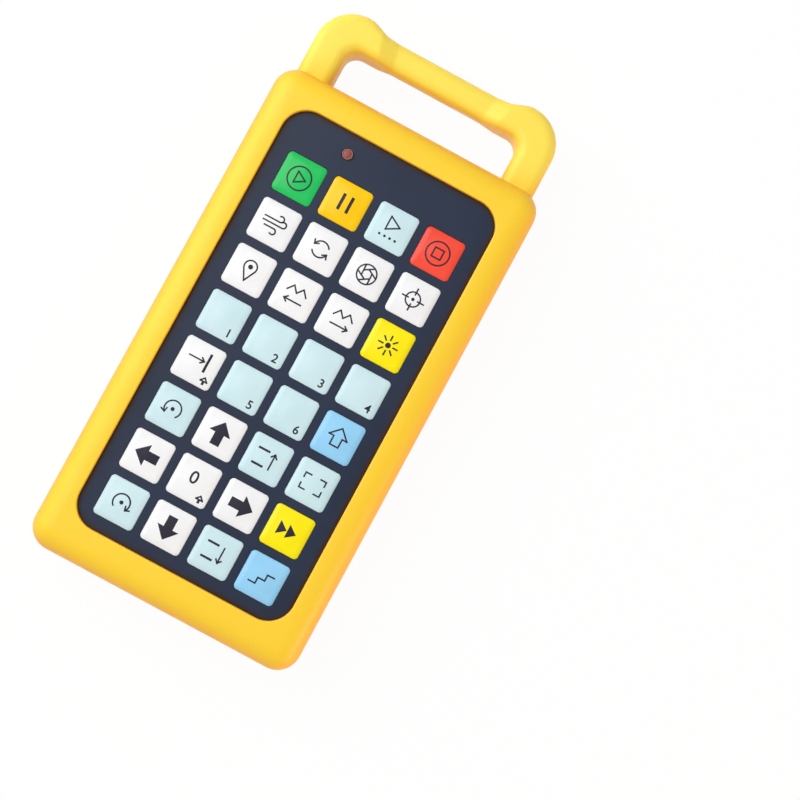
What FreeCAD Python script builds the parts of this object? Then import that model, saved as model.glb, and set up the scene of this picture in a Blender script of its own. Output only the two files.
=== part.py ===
"""Wireless handheld controller: a keypad handset in a silicone jacket with a carry handle.

The handset lies on its back. X runs across the keypad, Y along it towards the handle and Z
out of the keys. The origin is below the middle of the whole length, on the plane that the
back of the jacket rests on. Lengths are in millimetres.
"""
import FreeCAD, Part
import math
import os

import Sketcher

# Keys by name, in rows from the handle down and from left to right
KEY_ROWS = [
    ["key_start", "key_pause", "key_dry_run", "key_stop"],
    ["key_air", "key_follow", "key_shutter", "key_aim"],
    ["key_locate", "key_back", "key_forward", "key_beam"],
    ["key_user_1", "key_user_2", "key_user_3", "key_user_4"],
    ["key_edge", "key_user_5", "key_user_6", "key_shift"],
    ["key_turn_left", "key_up", "key_raise", "key_frame"],
    ["key_left", "key_zero", "key_right", "key_fast"],
    ["key_turn_right", "key_down", "key_lower", "key_step"],
]
ROWS = len(KEY_ROWS)
COLUMNS = len(KEY_ROWS[0])

# Driving dimensions
SIZES = {
    # Keypad
    "key_size": 14.8,
    "key_spacing": 3.2,
    "key_corner": 1.4,
    "key_rise": 0.75,
    "crown_radius": 80,
    "key_gap": 0.15,
    "key_pocket_room": 0.3,
    "panel_margin_side": 6.55,
    "panel_margin_top": 15.4,
    "panel_margin_bottom": 5.3,
    "panel_corner": 9.5,
    "panel_tuck": 3.3,
    "panel_clearance": 0.1,
    "film_thick": 0.5,
    "spacer_thick": 0.9,
    "circuit_thick": 0.4,
    "dome_foot_radius": 5.6,
    "dome_crown_radius": 3.2,
    "dome_height": 0.75,
    "dome_wall": 0.12,
    "dome_lean": 0.35,
    # Jacket
    "band_side": 10.25,
    "band_top": 11.8,
    "band_bottom": 13.8,
    "jacket_depth": 30,
    "jacket_corner": 8.5,
    "jacket_wall": 4,
    "front_round": 8,
    "rear_round": 5,
    "front_lip": 2,
    "rear_lip": 2.5,
    "lip_round": 1.2,
    "rear_band": 12.5,
    "rear_window_corner": 9,
    "sleeve_clearance": 0.15,
    # Handle, with the slopes of its bulges measured in from its sides
    "handle_inset": 4.5,
    "post_width": 12.9,
    "handle_gap": 15.2,
    "gap_corner": 5,
    "bar_width": 10.3,
    "bulge_rise": 2.4,
    "bulge_corner": 14,
    "bulge_slope_outer": 15.7,
    "bulge_slope_inner": 22.7,
    "slope_round": 5,
    "handle_floor": 8,
    "handle_thick": 16,
    "bar_thick": 10.5,
    "bar_setback": 4,
    "bar_slope": 5,
    "handle_root": 3,
    "handle_round": 4.5,
    # Case
    "case_wall": 2.2,
    "case_round": 2.5,
    "plate_thick": 2,
    "parting_height": 14,
    "tongue_wall": 1,
    "tongue_height": 1.5,
    "tongue_clearance": 0.1,
    "boss_inset_x": 14,
    "boss_inset_y": 17,
    "boss_diameter": 6.6,
    "boss_meet_height": 15,
    "screw_clearance": 0.1,
    "case_screw_head": 5,
    "case_screw_head_height": 1.9,
    "case_screw_shank": 2.5,
    "case_screw_length": 14,
    "counterbore_diameter": 5.6,
    "counterbore_depth": 3.2,
    # Battery bay and door
    "cell_diameter": 14.5,
    "cell_length": 50.5,
    "cell_button": 5.5,
    "cell_button_height": 1,
    "cell_edge": 0.6,
    "cell_spacing": 0.3,
    "cell_side_room": 0.55,
    "cell_seat": 0.25,
    "spring_room": 6,
    "contact_room": 0.5,
    "bay_wall": 1.6,
    "bay_offset": 19,
    "door_thick": 1.8,
    "door_clearance": 0.2,
    "door_seat": 0.1,
    "door_ledge": 2.2,
    "door_hinge_lap": 2.6,
    "door_corner": 2,
    "tab_width": 1.9,
    "tab_thick": 0.9,
    "tab_reach": 1.5,
    "tab_root": 2,
    "latch_width": 4,
    "latch_thick": 1.2,
    "latch_height": 2.4,
    "latch_room": 0.5,
    "grip_width": 16,
    "grip_thick": 0.6,
    "grip_spacing": 2.4,
    "grip_depth": 0.5,
    "notch_width": 18,
    "notch_length": 7,
    "notch_depth": 1.2,
    "contact_width": 5,
    "contact_thick": 0.4,
    "contact_foot": 3.6,
    "contact_height": 9,
    "contact_drop": 1.6,
    "contact_gap": 0.1,
    "tail_rise": 4,
    # Circuit board
    "post_height": 4,
    "post_diameter": 5,
    "post_inset_x": 10.5,
    "post_inset_low": 6,
    "post_inset_high": 24,
    "board_thick": 1.6,
    "board_margin": 2.5,
    "board_setback": 0.6,
    "board_screw_head": 3.6,
    "board_screw_head_height": 1.3,
    "board_screw_shank": 1.6,
    "board_screw_length": 4.8,
    "slot_room": 0.4,
    "chip_size": 10,
    "chip_height": 1.4,
    "radio_width": 18,
    "radio_length": 25,
    "radio_thick": 0.8,
    "radio_edge": 9.25,
    "shield_width": 15,
    "shield_length": 16,
    "shield_height": 1.8,
    "led_offset": 16.5,
    "led_drop": 7.5,
    "led_size": 3.2,
    "led_height": 1.9,
    "lens_diameter": 3.7,
    "lens_rise": 1.1,
    "lens_round": 1.5,
    "lens_flange": 6,
    "lens_flange_height": 1.2,
    "lens_clearance": 0.25,
    "tail_offset": 14,
    "tail_drop": 6.5,
    "tail_width": 12,
    "socket_width": 15,
    "socket_depth": 4.6,
    "socket_height": 3.2,
}

# Places and sizes that follow from the driving ones
PLACES = {
    "pitch": "sizes.key_size + sizes.key_spacing",
    "grid_width": f"{COLUMNS - 1} * pitch + sizes.key_size",
    "grid_length": f"{ROWS - 1} * pitch + sizes.key_size",
    "window_width": "grid_width + 2 * sizes.panel_margin_side",
    "window_length": "grid_length + sizes.panel_margin_bottom + sizes.panel_margin_top",
    "jacket_width": "window_width + 2 * sizes.band_side",
    "jacket_length": "window_length + sizes.band_bottom + sizes.band_top",
    "handle_reach": "sizes.handle_gap + sizes.bar_width + sizes.bulge_rise",
    # Along the handset
    "jacket_low_y": "-(jacket_length + handle_reach) / 2",
    "jacket_high_y": "jacket_low_y + jacket_length",
    "jacket_mid_y": "jacket_low_y + jacket_length / 2",
    "window_low_y": "jacket_low_y + sizes.band_bottom",
    "window_high_y": "window_low_y + window_length",
    "window_mid_y": "window_low_y + window_length / 2",
    "grid_low_y": "window_low_y + sizes.panel_margin_bottom",
    "bar_low_y": "jacket_high_y + sizes.handle_gap",
    "bar_high_y": "bar_low_y + sizes.bar_width",
    "handle_high_y": "bar_high_y + sizes.bulge_rise",
    "handle_half": "jacket_width / 2 - sizes.handle_inset",
    "gap_half": "handle_half - sizes.post_width",
    "slope_outer_x": "handle_half - sizes.bulge_slope_outer",
    "slope_inner_x": "handle_half - sizes.bulge_slope_inner",
    "bar_half_length": "slope_inner_x - sizes.bar_setback",
    # Case inside the jacket
    "cavity_width": "jacket_width - 2 * sizes.jacket_wall",
    "cavity_length": "jacket_length - 2 * sizes.jacket_wall",
    "cavity_corner": "sizes.jacket_corner - sizes.jacket_wall",
    "cavity_high": "sizes.jacket_depth - sizes.front_lip",
    "case_width": "cavity_width - 2 * sizes.sleeve_clearance",
    "case_length": "cavity_length - 2 * sizes.sleeve_clearance",
    "case_corner": "cavity_corner - sizes.sleeve_clearance",
    "case_low": "sizes.rear_lip + sizes.sleeve_clearance",
    "case_high": "cavity_high - sizes.sleeve_clearance",
    "case_low_y": "jacket_mid_y - case_length / 2",
    "case_high_y": "jacket_mid_y + case_length / 2",
    "shell_width": "case_width - 2 * sizes.case_wall",
    "shell_length": "case_length - 2 * sizes.case_wall",
    "shell_corner": "case_corner - sizes.case_wall",
    "tongue_width": "shell_width - 2 * sizes.tongue_clearance",
    "tongue_length": "shell_length - 2 * sizes.tongue_clearance",
    "tongue_low": "sizes.parting_height - sizes.tongue_height",
    "front_width": "tongue_width - 2 * sizes.tongue_wall",
    "front_length": "tongue_length - 2 * sizes.tongue_wall",
    "floor_high": "case_low + sizes.case_wall",
    "boss_x": "case_width / 2 - sizes.boss_inset_x",
    "boss_low_y": "case_low_y + sizes.boss_inset_y",
    "boss_high_y": "case_high_y - sizes.boss_inset_y",
    "boss_run": "boss_high_y - boss_low_y",
    "screw_seat": "case_low + sizes.counterbore_depth",
    "screw_tip": "screw_seat + sizes.case_screw_length",
    # Keypad layers, each on the one below
    "panel_width": "window_width + 2 * sizes.panel_tuck",
    "panel_length": "window_length + 2 * sizes.panel_tuck",
    "panel_round": "sizes.panel_corner + sizes.panel_tuck",
    "recess_width": "panel_width + 2 * sizes.panel_clearance",
    "recess_length": "panel_length + 2 * sizes.panel_clearance",
    "recess_round": "panel_round + sizes.panel_clearance",
    "film_low": "case_high - sizes.film_thick",
    "spacer_low": "film_low - sizes.spacer_thick",
    "circuit_low": "spacer_low - sizes.circuit_thick",
    "plate_low": "circuit_low - sizes.plate_thick",
    "window_cell": "sizes.key_size + 2 * sizes.key_gap",
    "pocket_cell": "sizes.key_size + 2 * sizes.key_pocket_room",
    "window_cell_corner": "sizes.key_corner + sizes.key_gap",
    "key_height": "sizes.film_thick + sizes.key_rise",
    "first_key_x": "-(grid_width - sizes.key_size) / 2",
    "first_key_y": "grid_low_y + sizes.key_size / 2",
    # Battery bay
    "cell_x": "(sizes.cell_diameter + sizes.cell_spacing) / 2",
    "cell_low": "floor_high + sizes.cell_seat",
    "cell_axis": "cell_low + sizes.cell_diameter / 2",
    "bay_width": "2 * sizes.cell_diameter + sizes.cell_spacing + 2 * sizes.cell_side_room",
    "bay_length": "sizes.cell_length + sizes.spring_room + sizes.contact_room",
    "bay_low_y": "case_low_y + sizes.bay_offset",
    "bay_high_y": "bay_low_y + bay_length",
    "bay_mid_y": "bay_low_y + bay_length / 2",
    "bay_ceiling": "cell_low + sizes.cell_diameter + sizes.cell_seat",
    "bay_top": "bay_ceiling + sizes.bay_wall",
    "door_width": "bay_width + 2 * sizes.door_ledge",
    "door_low_y": "bay_low_y - sizes.door_ledge",
    "door_high_y": "bay_high_y - sizes.door_hinge_lap",
    "door_length": "door_high_y - door_low_y",
    "door_high": "case_low + sizes.door_thick",
    "hinge_y": "door_high_y - sizes.door_thick / 2",
    "hinge_z": "case_low + sizes.door_thick / 2",
    "tab_low": "floor_high + sizes.door_seat",
    "tab_x": "bay_width / 2 - sizes.door_clearance - sizes.tab_width / 2",
    "contact_low": "cell_axis - sizes.contact_height / 2",
    "bridge_high": "cell_axis + sizes.contact_height / 2",
    "tail_y": "bay_high_y + sizes.tail_rise",
    # Circuit board
    "board_high": "plate_low - sizes.post_height",
    "board_low": "board_high - sizes.board_thick",
    "contact_high": "board_low - sizes.contact_drop",
    "board_width": "front_width - 2 * sizes.board_margin",
    "board_low_y": "bay_high_y + sizes.bay_wall + sizes.board_setback",
    "board_high_y": "jacket_mid_y + front_length / 2 - sizes.board_margin",
    "board_length": "board_high_y - board_low_y",
    "board_mid_y": "(board_high_y + board_low_y) / 2",
    "post_x": "case_width / 2 - sizes.post_inset_x",
    "post_low_y": "board_low_y + sizes.post_inset_low",
    "post_high_y": "board_high_y - sizes.post_inset_high",
    "led_x": "-sizes.led_offset",
    "led_y": "window_high_y - sizes.led_drop",
    "tail_slot_y": "window_high_y - sizes.tail_drop",
    "socket_high": "board_high + sizes.socket_height",
    "lens_hole": "sizes.lens_diameter + 2 * sizes.lens_clearance",
}

doc = FreeCAD.newDocument("handheld_controller")


def fill_sheet(name, cells):
    """Write named cells into a sheet of the document."""
    sheet = doc.addObject("Spreadsheet::Sheet", name)
    for row, (alias, content) in enumerate(cells.items(), start=1):
        sheet.set(f"A{row}", alias)
        sheet.set(f"B{row}", content)
        sheet.setAlias(f"B{row}", alias)
    doc.recompute()
    return sheet


sizes = fill_sheet("sizes", {alias: str(size) for alias, size in SIZES.items()})
places = fill_sheet("places", {alias: f"={rule}" for alias, rule in PLACES.items()})

finished = []


def value(expression):
    """The number that an expression gives now, to draw a sketch close to its final shape."""
    return float(sizes.evalExpression(expression))


def bind(thing, expressions):
    """Tie properties of a document object to expressions."""
    for path, expression in expressions.items():
        thing.setExpression(path, expression)


def keep(thing, label):
    """Name a finished sub-part and list it for export."""
    thing.Label = label
    finished.append(thing)
    return thing


def new_body(name):
    """An empty body that may hold a group of separate solids."""
    body = doc.addObject("PartDesign::Body", name)
    body.AllowCompound = True
    return body


def origin_feature(body, role):
    """An axis or plane of the body's own origin."""
    return next(item for item in body.Origin.OriginFeatures if item.Role == role)


# How the axes of a sketch on each plane lie along X, Y and Z
SKETCH_AXES = {
    "XY_Plane": lambda x, y, z: (x, y, z),
    "XZ_Plane": lambda x, y, z: (x, z, f"-({y})"),
    "YZ_Plane": lambda x, y, z: (y, z, x),
}


def new_sketch(body, plane="XY_Plane", x="0", y="0", z="0"):
    """A sketch on one of the body's origin planes, with its own origin moved to X, Y, Z."""
    sketch = body.newObject("Sketcher::SketchObject", "outline")
    sketch.AttachmentSupport = [(origin_feature(body, plane), "")]
    sketch.MapMode = "FlatFace"
    for axis, expression in zip("xyz", SKETCH_AXES[plane](x, y, z)):
        sketch.setExpression(f"AttachmentOffset.Base.{axis}", expression)
    return sketch


def set_size(sketch, constraint, expression):
    """Add a dimension to a sketch and tie it to an expression."""
    index = sketch.addConstraint(constraint)
    name = f"size_{index}"
    sketch.renameConstraint(index, name)
    sketch.setExpression(f"Constraints.{name}", expression)


def place_point(sketch, geometry, point, x, y):
    """Dimension a point of a sketch from the sketch's origin."""
    for kind, axis, expression in (("DistanceX", -2, x), ("DistanceY", -1, y)):
        distance = value(expression)
        if expression == "0":
            sketch.addConstraint(Sketcher.Constraint("PointOnObject", geometry, point, axis))
        elif distance > 0:
            held = Sketcher.Constraint(kind, -1, 1, geometry, point, distance)
            set_size(sketch, held, expression)
        else:
            held = Sketcher.Constraint(kind, geometry, point, -1, 1, -distance)
            set_size(sketch, held, f"-({expression})")


def draw_polygon(sketch, corners):
    """A closed outline of straight lines through the corners, given as pairs of expressions."""
    points = [FreeCAD.Vector(value(x), value(y), 0) for x, y in corners]
    count = len(points)
    lines = [
        sketch.addGeometry(Part.LineSegment(points[n], points[(n + 1) % count]))
        for n in range(count)
    ]
    for n, line in enumerate(lines):
        following = lines[(n + 1) % count]
        sketch.addConstraint(Sketcher.Constraint("Coincident", line, 2, following, 1))
    for line, (x, y) in zip(lines, corners):
        place_point(sketch, line, 1, x, y)
    return sketch


def draw_rounded_rectangle(sketch, width, length, corner):
    """A rectangle with round corners about the sketch's origin."""
    half_width, half_length = value(width) / 2, value(length) / 2
    radius = value(corner)
    across, along = half_width - radius, half_length - radius
    up = FreeCAD.Vector(0, 0, 1)
    quarter = math.pi / 2

    def line(x1, y1, x2, y2):
        start, end = FreeCAD.Vector(x1, y1, 0), FreeCAD.Vector(x2, y2, 0)
        return sketch.addGeometry(Part.LineSegment(start, end))

    def arc(x, y, turns):
        circle = Part.Circle(FreeCAD.Vector(x, y, 0), up, radius)
        return sketch.addGeometry(Part.ArcOfCircle(circle, turns * quarter, (turns + 1) * quarter))

    low = line(-across, -half_length, across, -half_length)
    right = line(half_width, -along, half_width, along)
    high = line(across, half_length, -across, half_length)
    left = line(-half_width, along, -half_width, -along)
    arcs = [arc(across, -along, 3), arc(across, along, 0), arc(-across, along, 1), arc(-across, -along, 2)]
    sides = [low, right, high, left]
    for n, bend in enumerate(arcs):
        sketch.addConstraint(Sketcher.Constraint("Tangent", sides[n], 2, bend, 1))
        sketch.addConstraint(Sketcher.Constraint("Tangent", bend, 2, sides[(n + 1) % 4], 1))
    for side, kind in zip(sides, ("Horizontal", "Vertical", "Horizontal", "Vertical")):
        sketch.addConstraint(Sketcher.Constraint(kind, side))
    for bend in arcs[1:]:
        sketch.addConstraint(Sketcher.Constraint("Equal", arcs[0], bend))
    set_size(sketch, Sketcher.Constraint("Radius", arcs[0], radius), corner)
    for kind, near, far, half, full in (
        ("DistanceX", left, right, half_width, width),
        ("DistanceY", low, high, half_length, length),
    ):
        set_size(sketch, Sketcher.Constraint(kind, near, 1, -1, 1, half), f"({full}) / 2")
        set_size(sketch, Sketcher.Constraint(kind, -1, 1, far, 1, half), f"({full}) / 2")
    return sketch


def draw_circles(sketch, diameter, centres):
    """Equal circles at the centres, given as pairs of expressions."""
    for x, y in centres:
        centre = FreeCAD.Vector(value(x), value(y), 0)
        circle = Part.Circle(centre, FreeCAD.Vector(0, 0, 1), value(diameter) / 2)
        ring = sketch.addGeometry(circle)
        place_point(sketch, ring, 3, x, y)
        size = Sketcher.Constraint("Diameter", ring, value(diameter))
        set_size(sketch, size, diameter)
    return sketch


def pad(body, sketch, length, both_ways=False):
    """Raise a sketch along its normal, or to both sides of its plane."""
    feature = body.newObject("PartDesign::Pad", "pad")
    feature.Profile = sketch
    feature.SideType = "Symmetric" if both_ways else "One side"
    feature.setExpression("Length", length)
    return feature


def pocket(body, sketch, length, both_ways=False):
    """Cut a sketch along its normal, or to both sides of its plane."""
    doc.recompute()
    before = body.Tip.Shape.Volume
    feature = body.newObject("PartDesign::Pocket", "pocket")
    feature.Profile = sketch
    feature.SideType = "Symmetric" if both_ways else "One side"
    feature.Reversed = not both_ways
    feature.setExpression("Length", length)
    doc.recompute()
    if not feature.Shape.Volume < before:
        raise RuntimeError(f"a pocket in {body.Name} cuts nothing")
    return feature


def slab(body, width, length, corner, low, high, y="0", x="0", make=pad):
    """Raise or cut a rounded rectangle between two heights."""
    sketch = new_sketch(body, x=x, y=y, z=low)
    draw_rounded_rectangle(sketch, width, length, corner)
    return make(body, sketch, f"({high}) - ({low})")


def columns(body, diameter, centres, low, high, make=pad):
    """Raise or cut round columns between two heights."""
    sketch = draw_circles(new_sketch(body, z=low), diameter, centres)
    return make(body, sketch, f"({high}) - ({low})")


def brick(body, width, length, low, high, x="0", y="0", make=pad):
    """Raise or cut a plain rectangle, about x and y, between two heights."""
    sketch = new_sketch(body, x=x, y=y, z=low)
    half_x, half_y = f"({width}) / 2", f"({length}) / 2"
    corners = [(f"-{half_x}", f"-{half_y}"), (half_x, f"-{half_y}"), (half_x, half_y), (f"-{half_x}", half_y)]
    draw_polygon(sketch, corners)
    return make(body, sketch, f"({high}) - ({low})")


def repeat(body, across, along, column_count, row_count, cut=None):
    """Repeat one cut, or else the whole body, over a grid along X and Y."""
    doc.recompute()
    pattern = body.newObject("PartDesign::LinearPattern", "grid")
    if cut:
        pattern.Originals = [cut]
    else:
        pattern.TransformMode = "Whole shape"
    pattern.Direction = (origin_feature(body, "X_Axis"), [""])
    pattern.Mode = "Spacing"
    pattern.Occurrences = column_count
    pattern.setExpression("Offset", across)
    doc.recompute()
    pattern.Direction2 = (origin_feature(body, "Y_Axis"), [""])
    pattern.Mode2 = "Spacing"
    pattern.Occurrences2 = row_count
    pattern.setExpression("Offset2", along)
    body.Tip = pattern
    doc.recompute()
    return pattern


def repeat_per_key(body, cut=None):
    """Repeat one cut, or else the whole body, for every key."""
    return repeat(body, "places.pitch", "places.pitch", COLUMNS, ROWS, cut)


def round_edges(body, radius, chosen):
    """Fillet the edges that a test chooses."""
    doc.recompute()
    base = body.Tip
    edges = [f"Edge{n}" for n, edge in enumerate(base.Shape.Edges, start=1) if chosen(edge)]
    if not edges:
        raise RuntimeError(f"no edge to round in {body.Name}")
    feature = body.newObject("PartDesign::Fillet", "round")
    feature.Base = (base, edges)
    feature.setExpression("Radius", radius)
    doc.recompute()
    return feature


NEAR = 1e-4


def lies_at(height):
    """A test for edges that lie level at a height."""
    level = value(height)
    return lambda edge: max(abs(edge.BoundBox.ZMin - level), abs(edge.BoundBox.ZMax - level)) < NEAR


def stands_at(x, y):
    """A test for upright edges at plus and minus x, and y."""
    across, along = value(x), value(y)

    def chosen(edge):
        box = edge.BoundBox
        upright = box.XLength < NEAR and box.YLength < NEAR and box.ZLength > NEAR
        return upright and abs(abs(box.XMin) - across) < NEAR and abs(box.YMin - along) < NEAR

    return chosen


def make_sleeve():
    """The part of the jacket round the case: a block with a cavity and two windows."""
    body = new_body("sleeve")
    slab(body, "places.jacket_width", "places.jacket_length", "sizes.jacket_corner",
         "0", "sizes.jacket_depth", y="places.jacket_mid_y")
    round_edges(body, "sizes.front_round", lies_at("sizes.jacket_depth"))
    round_edges(body, "sizes.rear_round", lies_at("0"))
    slab(body, "places.cavity_width", "places.cavity_length", "places.cavity_corner",
         "sizes.rear_lip", "places.cavity_high", y="places.jacket_mid_y", make=pocket)
    level = lies_at("places.cavity_high")
    round_edges(body, "sizes.case_round + sizes.sleeve_clearance", level)
    slab(body, "places.window_width", "places.window_length", "sizes.panel_corner",
         "places.cavity_high", "sizes.jacket_depth", y="places.window_mid_y", make=pocket)
    half = value("places.window_width / 2")
    top = lies_at("sizes.jacket_depth")
    round_edges(body, "sizes.lip_round", lambda edge: top(edge) and edge.BoundBox.XMax < half + NEAR)
    slab(body, "places.jacket_width - 2 * sizes.rear_band", "places.jacket_length - 2 * sizes.rear_band",
         "sizes.rear_window_corner", "0", "sizes.rear_lip", y="places.jacket_mid_y", make=pocket)
    return body


def make_handle():
    """The carry handle: two posts with full corners and a slimmer bar between them."""
    body = new_body("handle")
    root = "places.jacket_high_y - sizes.handle_root"
    high = "sizes.handle_floor + sizes.handle_thick"
    right = [
        ("places.handle_half", root),
        ("places.handle_half", "places.handle_high_y"),
        ("places.slope_outer_x", "places.handle_high_y"),
        ("places.slope_inner_x", "places.bar_high_y"),
    ]
    left = [(f"-{x}", y) for x, y in reversed(right)]
    sketch = draw_polygon(new_sketch(body, z="sizes.handle_floor"), right + left)
    pad(body, sketch, "sizes.handle_thick")
    sketch = new_sketch(body, z="sizes.handle_floor")
    gap = [("places.gap_half", root), ("places.gap_half", "places.bar_low_y")]
    draw_polygon(sketch, gap + [(f"-{x}", y) for x, y in reversed(gap)])
    pocket(body, sketch, "sizes.handle_thick")
    round_edges(body, "sizes.bulge_corner", stands_at("places.handle_half", "places.handle_high_y"))
    round_edges(body, "sizes.gap_corner", stands_at("places.gap_half", "places.bar_low_y"))
    round_edges(body, "sizes.slope_round", stands_at("places.slope_outer_x", "places.handle_high_y"))
    round_edges(body, "sizes.slope_round", stands_at("places.slope_inner_x", "places.bar_high_y"))
    recess = "(sizes.handle_thick - sizes.bar_thick) / 2"
    for face, way in (("sizes.handle_floor", 1), (high, -1)):
        inner = f"{face} + {way} * {recess}"
        slope_end = "places.bar_half_length + sizes.bar_slope"
        half = [("places.bar_half_length", inner), (slope_end, face)]
        sketch = new_sketch(body, "XZ_Plane", y="(places.bar_low_y + places.handle_high_y) / 2")
        draw_polygon(sketch, half + [(f"-({x})", z) for x, z in reversed(half)])
        pocket(body, sketch, "2 * sizes.bar_width", both_ways=True)
    levels = [value(f"{face} + {way} * {recess}") for face, way in (("sizes.handle_floor", 1), (high, -1))]
    faces = [value("sizes.handle_floor"), value(high)]

    def slope_edge(edge):
        box = edge.BoundBox
        level = box.ZLength < NEAR and any(abs(box.ZMin - z) < NEAR for z in levels + faces)
        return level and box.XLength < NEAR and box.YMin > value("places.jacket_high_y")

    round_edges(body, "sizes.slope_round", slope_edge)

    def rim(edge):
        box = edge.BoundBox
        if box.ZLength > value("sizes.handle_thick") - 2 * NEAR or box.YMax < value(root) + NEAR:
            return False
        joined = [face for face in body.Tip.Shape.Faces if any(edge.isSame(side) for side in face.Edges)]
        upright = [abs(face.normalAt(*middle_of(face)).z) < 0.1 for face in joined]
        return any(upright) and not all(upright)

    round_edges(body, "sizes.handle_round", rim)
    return body


def middle_of(face):
    """The middle of a face's own parameters."""
    first, last, low, high = face.ParameterRange
    return (first + last) / 2, (low + high) / 2


def make_jacket():
    """The jacket: the sleeve and the handle, moulded as one piece."""
    jacket = doc.addObject("Part::Fuse", "jacket")
    jacket.Base = make_sleeve()
    jacket.Tool = make_handle()
    keep(jacket, "jacket")


def case_block(body, low, high):
    """A slab of the case's outline between two heights."""
    return slab(body, "places.case_width", "places.case_length", "places.case_corner",
                low, high, y="places.jacket_mid_y")


def mirrored_pair(x, y):
    """Two centres, at plus and minus x."""
    return [(x, y), (f"-({x})", y)]


CASE_BOSSES = mirrored_pair("places.boss_x", "places.boss_low_y") + mirrored_pair(
    "places.boss_x", "places.boss_high_y"
)
BOARD_POSTS = mirrored_pair("places.post_x", "places.post_low_y") + mirrored_pair(
    "places.post_x", "places.post_high_y"
)
LAMP = [("places.led_x", "places.led_y")]


def make_front_shell():
    """The front half of the case, with the keypad recess, screw bosses and board posts."""
    body = new_body("front_shell")
    case_block(body, "sizes.parting_height", "places.case_high")
    round_edges(body, "sizes.case_round", lies_at("places.case_high"))
    slab(body, "places.tongue_width", "places.tongue_length", "places.shell_corner",
         "places.tongue_low", "sizes.parting_height", y="places.jacket_mid_y")
    slab(body, "places.front_width", "places.front_length", "places.shell_corner",
         "places.tongue_low", "places.plate_low", y="places.jacket_mid_y", make=pocket)
    slab(body, "places.recess_width", "places.recess_length", "places.recess_round",
         "places.circuit_low", "places.case_high", y="places.window_mid_y", make=pocket)
    columns(body, "sizes.boss_diameter", CASE_BOSSES, "sizes.boss_meet_height", "places.plate_low")
    columns(body, "sizes.post_diameter", BOARD_POSTS, "places.board_high", "places.plate_low")
    columns(body, "sizes.case_screw_shank + 2 * sizes.screw_clearance", CASE_BOSSES,
            "sizes.boss_meet_height", "places.screw_tip + sizes.screw_clearance", make=pocket)
    columns(body, "sizes.board_screw_shank + 2 * sizes.screw_clearance", BOARD_POSTS,
            "places.board_high", "places.board_low + sizes.board_screw_length + sizes.screw_clearance",
            make=pocket)
    columns(body, "places.lens_hole", LAMP, "places.plate_low", "places.circuit_low", make=pocket)
    brick(body, "sizes.tail_width + 2 * sizes.slot_room", "sizes.circuit_thick + 2 * sizes.slot_room",
          "places.plate_low", "places.circuit_low", x="sizes.tail_offset", y="places.tail_slot_y",
          make=pocket)
    keep(body, "front_shell")


def make_rear_shell():
    """The rear half of the case, with the battery bay, the door opening and the thumb notch."""
    body = new_body("rear_shell")
    case_block(body, "places.case_low", "sizes.parting_height")
    round_edges(body, "sizes.case_round", lies_at("places.case_low"))
    slab(body, "places.shell_width", "places.shell_length", "places.shell_corner",
         "places.floor_high", "sizes.parting_height", y="places.jacket_mid_y", make=pocket)
    brick(body, "places.bay_width + 2 * sizes.bay_wall", "places.bay_length + 2 * sizes.bay_wall",
          "places.floor_high", "places.bay_top", y="places.bay_mid_y")
    brick(body, "places.bay_width", "places.bay_length", "places.floor_high", "places.bay_ceiling",
          y="places.bay_mid_y", make=pocket)
    columns(body, "sizes.boss_diameter + 2 * sizes.bay_wall", CASE_BOSSES,
            "places.floor_high", "sizes.boss_meet_height")
    columns(body, "sizes.case_screw_shank + 2 * sizes.door_clearance", CASE_BOSSES,
            "places.case_low", "sizes.boss_meet_height", make=pocket)
    columns(body, "sizes.counterbore_diameter", CASE_BOSSES, "places.case_low", "places.screw_seat",
            make=pocket)
    slab(body, "places.door_width + 2 * sizes.door_clearance",
         "places.door_length + 2 * sizes.door_clearance", "sizes.door_corner + sizes.door_clearance",
         "places.case_low", "places.door_high + sizes.door_seat",
         y="(places.door_low_y + places.door_high_y) / 2", make=pocket)
    opening = "(places.door_high_y + sizes.door_clearance - places.bay_low_y)"
    brick(body, "places.bay_width", opening, "places.door_high + sizes.door_seat", "places.floor_high",
          y=f"places.bay_low_y + {opening} / 2", make=pocket)
    slab(body, "sizes.notch_width", "sizes.notch_length", "sizes.door_corner", "places.case_low",
         "places.case_low + sizes.notch_depth",
         y="places.door_low_y - sizes.notch_length / 2 + sizes.door_corner", make=pocket)
    for side in ("places.cell_x", "-places.cell_x"):
        brick(body, "sizes.contact_width + sizes.slot_room", "2 * sizes.bay_wall",
              "places.contact_high - sizes.contact_thick - sizes.slot_room / 2",
              "places.contact_high + sizes.slot_room / 2", x=side,
              y="places.bay_high_y + sizes.bay_wall / 2", make=pocket)
    keep(body, "rear_shell")


def panel_layer(name, low, high):
    """A layer of the keypad, with the outline of the recess and the lamp hole."""
    body = new_body(name)
    slab(body, "places.panel_width", "places.panel_length", "places.panel_round", low, high,
         y="places.window_mid_y")
    columns(body, "places.lens_hole", LAMP, low, high, make=pocket)
    return body


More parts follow.
